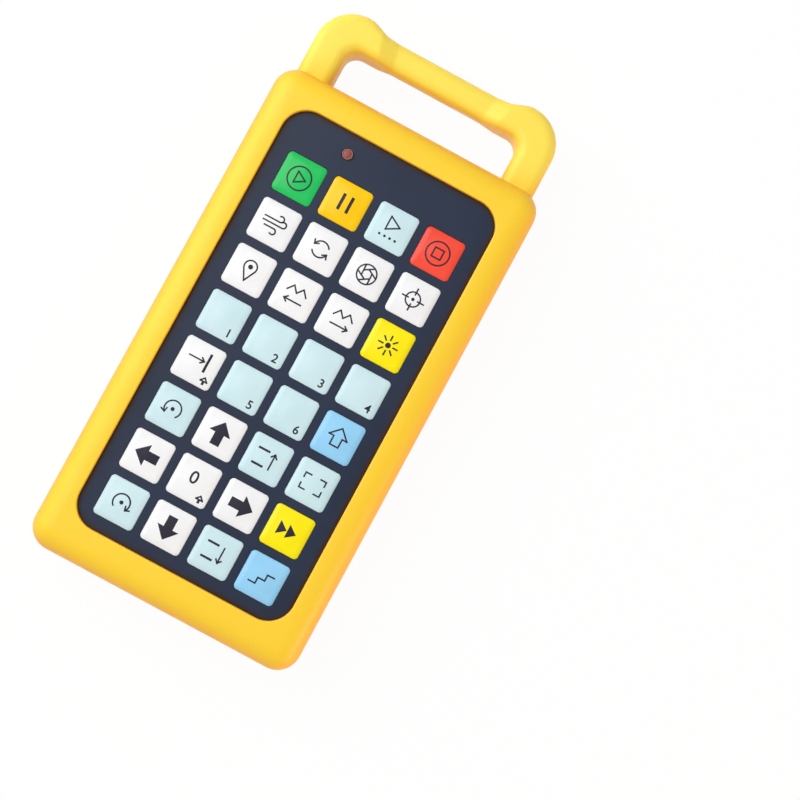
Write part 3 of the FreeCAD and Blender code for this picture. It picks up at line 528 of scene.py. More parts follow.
@dataclass(frozen=True)
class CellSleeve(Finish):
    """A dry cell's shrink sleeve: two plain bands of colour between ends of bare steel."""

    colour: str = "#1E2023"
    roughness: float = 0.3
    band: str = "#B9783A"
    bare: str = "#B8B8B4"
    node: str = ""
    plus_up: bool = True
    band_share: float = 0.3
    rim: float = 0.4
    button: float = 1.0

    def dress(self, surface: Surface) -> None:
        """Bands by the distance from the cell's plus end, and steel past the sleeve's two rims.

        Args:
            surface: the material's nodes.
        """
        tree = surface.tree
        low, high = (corner.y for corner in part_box(self.node))
        place = {"Vector": surface.place["Object"]}
        reach = add_node(tree, "ShaderNodeSeparateXYZ", place).outputs["Y"]
        for operation, by in (("SUBTRACT", high if self.plus_up else low), ("ABSOLUTE", 0)):
            reach = add_node(tree, "ShaderNodeMath", {0: reach, 1: by}, operation=operation).outputs[0]
        edges = (
            ("LESS_THAN", self.button * MM),
            ("GREATER_THAN", high - low - self.rim * MM),
            ("LESS_THAN", (high - low) * self.band_share),
        )
        head, foot, banded = (
            add_node(tree, "ShaderNodeMath", {0: reach, 1: edge}, operation=side).outputs[0]
            for side, edge in edges
        )
        steel = add_node(tree, "ShaderNodeMath", {0: head, 1: foot}, operation="MAXIMUM").outputs[0]
        surface.lay(banded, self.band)
        surface.lay(steel, self.bare)
        surface.feed("Metallic", steel)
        surface.polish(self.gloss_patch, self.roughness, self.gloss_spread)


@dataclass(frozen=True)
class GroundPaper(Finish):
    """Matt white paper, which the eye sees as the photographer's white ground."""

    glow: float = 0.95

    def dress(self, surface: Surface) -> None:
        """White to the eye and in reflections, with a light shadow left, and clear from below.

        Args:
            surface: the material's nodes.
        """
        tree = surface.tree
        path = add_node(tree, "ShaderNodeLightPath").outputs
        seen = path["Is Camera Ray"]
        for ray in ("Is Glossy Ray", "Is Transmission Ray"):
            seen = add_node(tree, "ShaderNodeMath", {0: seen, 1: path[ray]}, operation="MAXIMUM").outputs[0]
        share = add_node(tree, "ShaderNodeMath", {0: seen, 1: self.glow}, operation="MULTIPLY").outputs[0]
        white = add_node(tree, "ShaderNodeEmission", {"Strength": 1.0}).outputs[0]
        layers = {0: share, 1: surface.shader.outputs[0], 2: white}
        paper = add_node(tree, "ShaderNodeMixShader", layers).outputs[0]
        below = add_node(tree, "ShaderNodeNewGeometry").outputs["Backfacing"]
        clear = add_node(tree, "ShaderNodeBsdfTransparent").outputs[0]
        shown = add_node(tree, "ShaderNodeMixShader", {0: below, 1: paper, 2: clear}).outputs[0]
        tree.links.new(shown, tree.nodes["Material Output"].inputs["Surface"])


# Rubber that goes from lemon in the light to orange in the shade, with deeper orange painted shade on its
# sides and paler painted light on the handle
JACKET = Silicone("moulded_silicone_yellow", "#FFD431", 0.42)
# Black case plastic, matt from its fine pits
CASE = MouldedPlastic("spark_textured_abs_black", "#1B1B1E", 0.55)
# Dark blue panel film with a low, even gloss, and painted shadow of the jacket's lip along its edge
PANEL = BorderedFilm("velvet_polyester_navy", "#273147", 0.36, other="#1F283B", node="keypad_overlay")
# Key symbols in nearly black ink
INK = PrintedFilm("screen_ink_dark", "#262433", 0.45, other="#34313F")
# The lamp's dull red window, with a painted highlight round its rim
LENS = RimmedTint("tinted_acrylic_red", "#9E4A40", 0.45, node="status_lens")
# Black oxide on the case screws, brown-grey where it catches light
SCREW = SheetMetal("blackened_steel", "#4A4A4C", 0.38, other="#2E2E30")
# Battery contacts with a warm gleam
NICKEL = SheetMetal("nickel_strip", "#C9C4B8", 0.28)
# The radio's can, a cold grey gleam
TINPLATE = SheetMetal("tinned_sheet", "#CFCFCB", 0.3, other="#A9A9A4")
# Domes, the brightest metal of the keypad
SPRING = SheetMetal("sprung_stainless_sheet", "#C4C4C2", 0.24, other="#9A9A98")
# Board: dark green with paler tracks
BOARD = Laminate("solder_resist_green", "#14522B", 0.4)
# Keypad circuit: brown film with darker tracks
TAIL = Laminate("polyimide_amber", "#A8641C", 0.35, track="#7E4812", pitch=1.0, track_width=0.35)
# Spacer: milky film
SPACER = PrintedFilm("die_cut_polyester_pale", "#E4E4DE", 0.4, other="#D2D2CA")
# Chip body, black and matt
EPOXY = FineMoulding("moulded_epoxy_black", "#17171A", 0.6)
# Tail socket, warm white
NYLON = FineMoulding("moulded_nylon_ivory", "#DDD6C2", 0.5, other="#EFE9D8")
# Lamp below the red window, milky and clear
LAMP = ClearTint("clear_epoxy_lamp", "#EFEAD6", 0.2, other="#FFFFFF")
# The ground that the handset lies on, plain white
PAPER = GroundPaper("white_paper", "#FAFAFA", 0.9)


class KeyColour(Enum):
    """The printed colours of the keys: the record's slot, the colour and the tone that it drifts to."""

    WHITE = ("key_white", "#F4F5F6", "#ECEDF1")
    CYAN = ("key_cyan", "#CFEAF0", "#C2E2EA")
    YELLOW = ("key_yellow", "#FFEE00", "#F8E000")
    AMBER = ("key_amber", "#FFD000", "#F8BE00")
    GREEN = ("key_green", "#22C661", "#18B052")
    RED = ("key_red", "#F9503C", "#E73C2C")
    BLUE = ("key_blue", "#9AD6FA", "#86C8F2")

    @property
    def slot(self) -> str:
        """The record's material slot."""
        return self.value[0]

    @property
    def finish(self) -> Finish:
        """Printed film in this colour."""
        slot, colour, other = self.value
        return KeyFilm(f"printed_film_{slot}", colour, other=other)


def new_piece(name: str, bm: Mesh, finish: Finish, crease: float = 35) -> Piece:
    """Makes an object of a finished bmesh, with smooth shading between its creases.

    Args:
        name: the object's name.
        bm: the mesh in millimetres, which is freed.
        finish: what it is made of.
        crease: the angle in degrees over which an edge stays sharp.

    Returns:
        The object, at the origin.
    """
    bmesh.ops.recalc_face_normals(bm, faces=bm.faces)
    bmesh.ops.scale(bm, vec=(MM, MM, MM), verts=bm.verts)
    mesh = bpy.data.meshes.new(name)
    bm.to_mesh(mesh)
    bm.free()
    mesh.materials.append(finish.material())
    mesh.shade_smooth()
    mesh.set_sharp_from_angle(angle=math.radians(crease))
    piece = bpy.data.objects.new(name, mesh)
    bpy.context.scene.collection.objects.link(piece)
    return piece


def settle(piece: Piece, body: str, slot: str, *nodes: str) -> Piece:
    """Ties a piece to the body that carries it.

    Args:
        piece: the new piece.
        body: the body that it moves with.
        slot: the record's material slot; not used.
        nodes: the solids that it stands for.

    Returns:
        The piece.
    """
    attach(piece, body)
    if nodes:
        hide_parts(*nodes)
    log.info("%s rides on %s, %d faces", piece.name, body, len(piece.data.polygons))
    return piece


def box_mm(node: str) -> tuple[Vector, Vector]:
    """A solid's lowest and highest corners in millimetres."""
    low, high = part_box(node)
    return low / MM, high / MM


@dataclass(frozen=True)
class Outline:
    """A rectangle with round corners, lying flat. Lengths are in mm."""

    low: Point
    high: Point
    corner: float

    @classmethod
    def within(cls, low: Vector, high: Vector, inset: float, corner: float) -> "Outline":
        """The outline that lies inside a box by an inset."""
        return cls((low.x + inset, low.y + inset), (high.x - inset, high.y - inset), corner)

    def loop(self, bm: Mesh, inset: float, z: float, segments: int) -> Loop:
        """Draws a closed loop of edges along the outline.

        Args:
            bm: the mesh that gets the loop.
            inset: how far inside the outline it runs, or outside where it is negative.
            z: its height.
            segments: edges in each corner.

        Returns:
            The loop's edges.
        """
        left, near = (low + inset for low in self.low)
        right, far = (high - inset for high in self.high)
        corners = ((left, near), (right, near), (right, far), (left, far))
        face = bm.faces.new([bm.verts.new((x, y, z)) for x, y in corners])
        made = bmesh.ops.bevel(
            bm,
            geom=face.verts[:],
            offset=self.corner - inset,
            segments=segments,
            profile=0.5,
            affect="VERTICES",
            material=-1,
        )
        face = made["verts"][0].link_faces[0]
        edges = face.edges[:]
        bmesh.ops.delete(bm, geom=[face], context="FACES_ONLY")
        return edges


def skin(bm: Mesh, loops: list[Loop]) -> None:
    """Joins each loop to the next with faces."""
    for near, far in zip(loops, loops[1:]):
        bmesh.ops.bridge_loops(bm, edges=near + far)


def quarter(steps: int) -> list[Point]:
    """Sine and cosine at even steps through a right angle."""
    angles = [math.pi / 2 * step / steps for step in range(steps + 1)]
    return [(math.sin(a), math.cos(a)) for a in angles]


def soft_ramp(distance: float, run: float, softness: float) -> float:
    """How high a ramp of a run stands at a distance from its start, with ends rounded by a softness."""
    rise, fall = ((along + math.hypot(along, softness)) / 2 for along in (distance, distance - run))
    return (rise - fall) / run


def turned(outline: list[Point], middle: Vector, segments: int) -> Mesh:
    """Turns an outline about an upright axis.

    Args:
        outline: the radius and height of each point, from the axis and back to it.
        middle: a point of the axis.
        segments: steps in the full turn.

    Returns:
        The closed mesh.
    """
    bm = bmesh.new()
    verts = [bm.verts.new((middle.x + radius, middle.y, z)) for radius, z in outline]
    edges = [bm.edges.new(pair) for pair in zip(verts, verts[1:])]
    whole = 2 * math.pi
    bmesh.ops.spin(
        bm, geom=verts + edges, cent=middle, axis=UP, angle=whole, steps=segments, use_merge=True
    )
    bmesh.ops.remove_doubles(bm, verts=bm.verts, dist=SAME_POINT)
    return bm


def even_lines(reach: float, step: float) -> list[float]:
    """Places at even steps, as far as a reach to both sides."""
    count = int(reach / step)
    return [line * step for line in range(-count, count + 1)]


def rule_lines(bm: Mesh, middle: Vector, places: list[float]) -> None:
    """Cuts a flat mesh along straight lines, both across and along.

    Args:
        bm: the mesh.
        middle: the point that the lines are placed from.
        places: the distance of each line from it.
    """
    for axis in (ACROSS, ALONG):
        for place in places:
            geom = bm.verts[:] + bm.edges[:] + bm.faces[:]
            point = middle + axis * place
            bmesh.ops.bisect_plane(bm, geom=geom, dist=SAME_POINT, plane_co=point, plane_no=axis)


@dataclass
class Jacket:
    """The one-piece silicone jacket: a lipped sleeve round the case, and the carry handle.

    Its flat lands fall by a slight draft, which also keeps neighbouring loops out of one plane.
    """

    wall: float = 4.15
    corner: float = 8.5
    front_round: float = 8
    front_steps: int = 9
    rear_round: float = 5
    rear_steps: int = 6
    lip_width: float = 0.6
    lip_fall: float = 0.45
    lip_steps: int = 7
    parting_height: float = 13
    parting_depth: float = 0.12
    parting_half: float = 0.24
    lip_tuck: float = 3.3
    window_corner: float = 9.5
    cavity_round: float = 2.65
    inner_steps: int = 3
    clearance: float = 0.15
    rear_band: float = 12.5
    rear_corner: float = 9
    rear_edge: float = 0.6
    draft: float = 0.02
    handle_half: float = 46.7
    post_width: float = 12.9
    handle_gap: float = 15.2
    gap_corner: float = 5
    bar_width: float = 10.3
    bar_steps: int = 64
    bulge_rise: float = 2.4
    bulge_corner: float = 14
    bulge_start: float = 25
    bulge_run: float = 6
    bulge_soft: float = 0.8
    bend_steps: int = 12
    handle_floor: float = 8
    handle_thick: float = 16
    bar_thick: float = 10.5
    facet_start: float = 19.8
    facet_run: float = 6.6
    facet_soft: float = 0.4
    handle_round: float = 4
    least_flat: float = 0.1
    root: float = 3
    segments: int = 10
    crease: float = 30

    def __post_init__(self) -> None:
        """Takes the case, the film and the whole jacket from the frame."""
        case = box_mm("front_shell")
        film = box_mm("keypad_overlay")
        self.outside = Outline.within(*case, -self.wall, self.corner)
        self.window = Outline.within(*film, self.lip_tuck, self.window_corner)
        self.opening = Outline.within(*case, self.rear_band - self.wall, self.rear_corner)
        self.depth = box_mm("jacket")[1].z
        self.cavity_high = film[1].z + self.clearance
        self.cavity_low = box_mm("rear_shell")[0].z - self.clearance

    def sleeve(self) -> Mesh:
        """The sleeve, as loops round it from the back, over the outside and the lip, and back inside.

        Returns:
            The closed mesh.
        """
        rings: list[tuple[Outline, float, float]] = []
        for sine, cosine in quarter(self.rear_steps):
            rings.append((self.outside, self.rear_round * (1 - sine), self.rear_round * (1 - cosine)))
        for side in (-1, 0, 1):
            inset = self.parting_depth * (1 - abs(side))
            rings.append((self.outside, inset, self.parting_height + side * self.parting_half))
        for sine, cosine in quarter(self.front_steps):
            z = self.depth - self.front_round * (1 - sine)
            rings.append((self.outside, self.front_round * (1 - cosine), z))
        for sine, cosine in quarter(self.lip_steps):
            z = self.depth - self.draft - self.lip_fall * (1 - cosine)
            rings.append((self.window, -self.lip_width * (1 - sine), z))
        rings.append((self.window, 0, self.cavity_high))
        inner = self.wall - self.clearance
        for sine, cosine in quarter(self.inner_steps):
            z = self.cavity_high - self.draft - self.cavity_round * (1 - cosine)
            rings.append((self.outside, inner + self.cavity_round * (1 - sine), z))
        rings.append((self.outside, inner, self.cavity_low))
        rings.append((self.opening, 0, self.cavity_low - self.draft))
        for sine, cosine in quarter(self.inner_steps):
            z = self.draft + self.rear_edge * (1 - sine)
            rings.append((self.opening, -self.rear_edge * (1 - cosine), z))
        bm = bmesh.new()
        loops = [outline.loop(bm, inset, z, self.segments) for outline, inset, z in rings]
        skin(bm, loops + loops[:1])
        return bm

    def handle_section(self, bm: Mesh, outer: Point, inner: Point, thick: float) -> Loop:
        """One cross-section of the handle.

        Args:
            bm: the handle's mesh.
            outer: where it meets the handle's outside line.
            inner: where it meets the line of the gap.
            thick: its thickness along Z.

        Returns:
            The section's loop of edges.
        """
        across = Vector((outer[0] - inner[0], outer[1] - inner[1], 0))
        half, side = across.length / 2, across.normalized()
        corner = min(self.handle_round, half - self.least_flat)
        edges = Outline((-half, -thick / 2), (half, thick / 2), corner).loop(bm, 0, 0, self.segments)
        height = self.handle_floor + self.handle_thick / 2
        middle = Vector(((outer[0] + inner[0]) / 2, (outer[1] + inner[1]) / 2, height))
        turn = Matrix((side, UP, side.cross(UP))).transposed().to_4x4()
        verts = list({vert for edge in edges for vert in edge.verts})
        bmesh.ops.transform(bm, matrix=Matrix.Translation(middle) @ turn, verts=verts)
        return edges

    def handle(self) -> Mesh:
        """The handle: half a bar with its facet, a full corner and a post, and their mirror image.

        Returns:
            The closed mesh.
        """
        bm = bmesh.new()
        sleeve_end = self.outside.high[1]
        bar_low = sleeve_end + self.handle_gap
        bar_high = bar_low + self.bar_width
        top = bar_high + self.bulge_rise
        gap_half = self.handle_half - self.post_width
        outer_x, outer_y = self.handle_half - self.bulge_corner, top - self.bulge_corner
        inner_x, inner_y = gap_half - self.gap_corner, bar_low - self.gap_corner
        loops = []
        for step in range(self.bar_steps + 1):
            x = outer_x * step / self.bar_steps
            facet = soft_ramp(x - self.facet_start, self.facet_run, self.facet_soft)
            bulge = soft_ramp(x - self.bulge_start, self.bulge_run, self.bulge_soft)
            thick = self.bar_thick + (self.handle_thick - self.bar_thick) * facet
            outer = (x, bar_high + self.bulge_rise * bulge)
            loops.append(self.handle_section(bm, outer, (x * inner_x / outer_x, bar_low), thick))
        for sine, cosine in quarter(self.bend_steps)[1:]:
            outer = (outer_x + self.bulge_corner * sine, outer_y + self.bulge_corner * cosine)
            inner = (inner_x + self.gap_corner * sine, inner_y + self.gap_corner * cosine)
            loops.append(self.handle_section(bm, outer, inner, self.handle_thick))
        foot = sleeve_end - self.root
        loops.append(self.handle_section(bm, (self.handle_half, foot), (gap_half, foot), self.handle_thick))
        skin(bm, loops)
        bmesh.ops.contextual_create(bm, geom=loops[-1])
        half = bm.verts[:] + bm.edges[:] + bm.faces[:]
        bmesh.ops.mirror(bm, geom=half, axis="X", merge_dist=SAME_POINT)
        return bm

    def build(self) -> None:
        """The jacket as one skin: sleeve and handle joined."""
        jacket = new_piece("silicone_jacket", self.sleeve(), JACKET)
        handle = new_piece("handle_form", self.handle(), JACKET)
        join = jacket.modifiers.new("moulded_as_one", "BOOLEAN")
        join.operation = "UNION"
        join.solver = "EXACT"
        join.object = handle
        graph = bpy.context.evaluated_depsgraph_get()
        jacket.data = bpy.data.meshes.new_from_object(jacket.evaluated_get(graph))
        jacket.modifiers.clear()
        bpy.data.objects.remove(handle)
        jacket.data.shade_smooth()
        jacket.data.set_sharp_from_angle(angle=math.radians(self.crease))
        settle(jacket, HANDSET, "silicone_jacket", "jacket")


@dataclass
class KeyTop:
    """The embossed top of one key: a flat rim with a soft step, and a round dome inside it."""

    node: str
    colour: KeyColour
    corner: float = 1.4
    corner_segments: int = 6
    rim_round: float = 0.45
    rim_height: float = 0.25
    rim_insets: tuple[float, ...] = (0.08, 0.15, 0.25)
    dome_radius: float = 7.2
    mesh_step: float = 1.06
    crease: float = 50

    def __post_init__(self) -> None:
        """Takes the key's place from the frame."""
        self.low, self.high = box_mm(self.node)
        self.middle = (self.low + self.high) / 2
        self.half = (self.high.x - self.low.x) / 2
        self.film = box_mm("keypad_overlay")[1].z

    def height(self, x: float, y: float) -> float:
        """The key's surface over a point of it.

        Args:
            x: distance from the key's middle across the keypad.
            y: distance from the key's middle along it.

        Returns:
            Its height in the frame.
        """
        rim = self.film + self.rim_height
        inner = self.half - self.corner
        dx, dy = abs(x) - inner, abs(y) - inner
        edge = self.corner - (math.hypot(dx, dy) if min(dx, dy) > 0 else max(dx, dy))
        fall = min(max(self.rim_round - edge, 0), self.rim_round)
        step = self.rim_round - math.sqrt(self.rim_round**2 - fall**2)
        out = min(math.hypot(x, y) / self.dome_radius, 1)
        return rim - step + (self.high.z - rim) * (1 - out**2) ** 2

    def build(self) -> None:
        """The key as a closed shell."""
        bm = bmesh.new()
        outline = Outline.within(self.low, self.high, 0, self.corner)
        edges = outline.loop(bm, 0, 0, self.corner_segments)
        top = bmesh.ops.contextual_create(bm, geom=edges)["faces"]
        for inset in self.rim_insets:
            bmesh.ops.inset_region(bm, faces=top, thickness=inset)
        rule_lines(bm, self.middle, even_lines(self.half, self.mesh_step))
        for vert in bm.verts:
            vert.co.z = self.height(vert.co.x - self.middle.x, vert.co.y - self.middle.y)
        rim = [edge for edge in bm.edges if edge.is_boundary]
        for part in bmesh.ops.extrude_edge_only(bm, edges=rim)["geom"]:
            if isinstance(part, bmesh.types.BMVert):
                part.co.z = self.low.z
        bmesh.ops.contextual_create(bm, geom=[edge for edge in bm.edges if edge.is_boundary])
        key = new_piece(f"{self.node}_top", bm, self.colour.finish, self.crease)
        settle(key, self.node, self.colour.slot, self.node)


@dataclass
class Legend:
    """A key's symbol in screen ink, drawn flat in millimetres from the key's middle."""

    lift: float = 0.015
    ink_thick: float = 0.03
    layer_step: float = 0.003
    mesh_step: float = 1.3

    def __post_init__(self) -> None:
        """Starts with nothing drawn."""
        self.bm = bmesh.new()
        self.laid: set[bmesh.types.BMVert] = set()
        self.layer = 0.0

    def lay(self, place: Matrix) -> None:
        """Puts the newest stroke in its place, a hair above the one before it.

        Args:
            place: the matrix that takes it there.
        """
        stroke = [vert for vert in self.bm.verts if vert not in self.laid]
        self.laid.update(stroke)
        self.layer += self.layer_step
        bmesh.ops.transform(self.bm, matrix=Matrix.Translation((0, 0, self.layer)) @ place, verts=stroke)

    def print_on(self, key: KeyTop, symbol: list["Stroke"]) -> None:
        """Draws a symbol and lays it on a key's dome.

        Args:
            key: the key.
            symbol: the strokes, from the lowest layer up.
        """
        for stroke in symbol:
            stroke.draw(self)
        rule_lines(self.bm, Vector(), even_lines(key.half, self.mesh_step))
        bmesh.ops.dissolve_degenerate(self.bm, edges=self.bm.edges, dist=SAME_POINT)
        for vert in self.bm.verts:
            vert.co.z += key.height(vert.co.x, vert.co.y) + self.lift
        bmesh.ops.translate(self.bm, vec=(key.middle.x, key.middle.y, 0), verts=self.bm.verts)
        bmesh.ops.solidify(self.bm, geom=self.bm.faces[:], thickness=self.ink_thick)
        settle(new_piece(f"{key.node}_symbol", self.bm, INK), key.node, "keypad_film")


class Stroke(ABC):
    """One stroke of a symbol. Lengths are in mm from the key's middle, angles in degrees."""

    @abstractmethod
    def draw(self, pen: Legend) -> None:
        """Adds the stroke to a drawing.

        Args:
            pen: the drawing.
        """


@dataclass(frozen=True)
class Line(Stroke):
    """A straight stroke with square ends."""

    start: Point
    end: Point
    width: float = PEN_WIDTH

    def draw(self, pen: Legend) -> None:
        """Stretches a unit square along the line.

        Args:
            pen: the drawing.
        """
        near, far = Vector((*self.start, 0)), Vector((*self.end, 0))
        run = far - near
        turn = Matrix.Rotation(math.atan2(run.y, run.x), 4, "Z")
        size = Matrix.Diagonal((run.length + self.width, self.width, 1, 1))
        bmesh.ops.create_grid(pen.bm, x_segments=1, y_segments=1, size=0.5)
        pen.lay(Matrix.Translation((near + far) / 2) @ turn @ size)


@dataclass(frozen=True)
class Arc(Stroke):
    """A round stroke between two angles, cut into so many steps for each radian."""

    middle: Point
    radius: float
    start: float = 0
    end: float = 360
    width: float = PEN_WIDTH
    steps: float = 5
    least_steps: int = 6

    def draw(self, pen: Legend) -> None:
        """Turns a short line through the angle.

        Args:
            pen: the drawing.
        """
        reach = self.width / 2
        ends = [pen.bm.verts.new((self.radius + side, 0, 0)) for side in (-reach, reach)]
        sweep = math.radians(self.end - self.start)
        bmesh.ops.spin(
            pen.bm,
            geom=[*ends, pen.bm.edges.new(ends)],
            cent=(0, 0, 0),
            axis=UP,
            angle=sweep,
            steps=max(self.least_steps, round(abs(sweep) * self.steps)),
            use_merge=abs(self.end - self.start) == 360,
        )
        pen.lay(Matrix.Translation((*self.middle, 0)) @ Matrix.Rotation(math.radians(self.start), 4, "Z"))


@dataclass(frozen=True)
class Dot(Stroke):
    """A filled disc."""

    middle: Point
    radius: float
    segments: int = 20

    def draw(self, pen: Legend) -> None:
        """Adds the disc."""
        bmesh.ops.create_circle(pen.bm, cap_ends=True, segments=self.segments, radius=self.radius)
        pen.lay(Matrix.Translation((*self.middle, 0)))


@dataclass(frozen=True)
class Patch(Stroke):
    """A filled shape through its corners."""

    corners: tuple[Point, ...]

    def draw(self, pen: Legend) -> None:
        """Adds the shape."""
        pen.bm.faces.new([pen.bm.verts.new((*corner, 0)) for corner in self.corners])
        pen.lay(Matrix())


@dataclass(frozen=True)
class Number(Stroke):
    """Digits in the plain built-in face, whose digits take up a share of its size."""

    digits: str
    middle: Point
    height: float
    face_share: float = 0.7
    weight: float = 0.07

    def draw(self, pen: Legend) -> None:
        """Turns the digits into a mesh.

        Args:
            pen: the drawing.
        """
        curve = bpy.data.curves.new("digits", "FONT")
        curve.body = self.digits
        curve.size = self.height / self.face_share
        curve.offset = self.weight
        curve.align_x = "CENTER"
        curve.align_y = "CENTER"
        text = bpy.data.objects.new("digits", curve)
        bpy.context.scene.collection.objects.link(text)
        mesh = bpy.data.meshes.new_from_object(text.evaluated_get(bpy.context.evaluated_depsgraph_get()))
        pen.bm.from_mesh(mesh)
        pen.lay(Matrix.Translation((*self.middle, 0)))
        bpy.data.objects.remove(text)
        bpy.data.curves.remove(curve)
        bpy.data.meshes.remove(mesh)


Symbol = list[Stroke]
HUB = (0, 0)


def polar(radius: float, angle: float) -> Point:
    """A point at a radius and an angle in degrees."""
    return radius * math.cos(math.radians(angle)), radius * math.sin(math.radians(angle))


def path(*points: Point) -> Symbol:
    """A stroke from each point to the next."""
    return [Line(start, end) for start, end in zip(points, points[1:])]


def rays(count: int, near: float, far: float, twist: float = 0) -> Symbol:
    """Even strokes from one radius to another, which may lie a twist in degrees further on."""
    return [Line(polar(near, angle), polar(far, angle + twist)) for angle in range(0, 360, 360 // count)]


def head(tip: Point, angle: float, length: float = 1.5, spread: float = 40) -> Symbol:
    """An open arrow head that points in a direction; angles are in degrees."""
    backs = [polar(length, angle + 180 + side) for side in (-spread, spread)]
    return [Line(tip, (tip[0] + x, tip[1] + y)) for x, y in backs]


def arrow(start: Point, end: Point) -> Symbol:
    """A thin arrow from one point to another."""
    angle = math.degrees(math.atan2(end[1] - start[1], end[0] - start[0]))
    return [Line(start, end), *head(end, angle)]


def bold_arrow(angle: float, stem_width: float = 3.4) -> Symbol:
    """A filled arrow that points in a direction.

    Args:
        angle: the direction in degrees.
        stem_width: the width of its stem.

    Returns:
        Its head and its short stem.
    """
    turn = Matrix.Rotation(math.radians(angle), 2)
    points = ((4.6, 0), (0.2, 4.0), (0.2, -4.0), (-2.4, 0), (-1.2, 0))
    *tips, stem, neck = [tuple(turn @ Vector(point)) for point in points]
    return [Patch(tuple(tips)), Line(stem, neck, stem_width)]


def stream(start: float, end: float, y: float, way: int) -> Symbol:
    """A stream of air that ends in a curl.

    Args:
        start: where it starts, across the key.
        end: where its curl starts.
        y: its place along the key.
        way: 1 where it curls up, or -1 where it curls down.

    Returns:
        A line and an arc.
    """
    radius = 1.05
    curl = 230
    below = -90 * way
    round_end = Arc((end, y + radius * way), radius, below, below + curl * way)
    return [Line((start, y), (end, y)), round_end]


def arc_arrow(start: float, sweep: float, radius: float, lead: float, lean: float) -> Symbol:
    """An arc round the middle, with a head that runs on round the ring. Angles are in degrees.

    Args:
        start: where the arc starts.
        sweep: how far it goes, with the clock where it is negative.
        radius: its radius.
        lead: how far past the arc the head's tip lies.
        lean: how far the head leans out of the ring.

    Returns:
        The arc and its head.
    """
    way = math.copysign(1, sweep)
    tip = start + sweep + way * lead
    return [Arc(HUB, radius, start, start + sweep), *head(polar(radius, tip), tip + way * (90 - lean))]


def user_keys(*numbers: int) -> dict[str, tuple[KeyColour, Symbol]]:
    """The free keys, each with its number in the corner."""
    return {f"key_user_{n}": (KeyColour.CYAN, [Number(str(n), (4.2, -4.5), 3.0)]) for n in numbers}


WHITE, CYAN, YELLOW, AMBER, GREEN, RED, BLUE = KeyColour
TRIANGLE = path((-1.3, -2.1), (-1.3, 2.1), (2.3, 0), (-1.3, -2.1))
SQUARE = path((-1.7, -1.7), (1.7, -1.7), (1.7, 1.7), (-1.7, 1.7), (-1.7, -1.7))
DRY_TRIANGLE = path((-1.9, -1.2), (-1.9, 3.8), (2.5, 1.3), (-1.9, -1.2))
ZIGZAG = path((-3.6, 0.8), (-1.8, 3.0), (0, 0.8), (1.8, 3.0), (3.6, 0.8))
PIN = [Line((x, 0.23), (0, -3.9)) for x in (-2.09, 2.09)]
LEVELS = [Line((-3.8, y), (-0.2, y), 0.8) for y in (-2.8, 2.8)]
QUADRANTS = [(x, y) for x in (-1, 1) for y in (-1, 1)]
CORNERS = [path((1.8 * x, 2.8 * y), (3.9 * x, 2.8 * y), (3.9 * x, 1.1 * y)) for x, y in QUADRANTS]
ARROW_SIDE = [(0, 3.6), (3.4, 0.2), (1.6, 0.2), (1.6, -3.0)]
# In the corner of a key that does something else with shift
SHIFT_MARK = [*path((4.6, -3.5), (5.8, -4.8), (3.4, -4.8), (4.6, -3.5)), Line((4.6, -5.1), (4.6, -5.7), 0.9)]

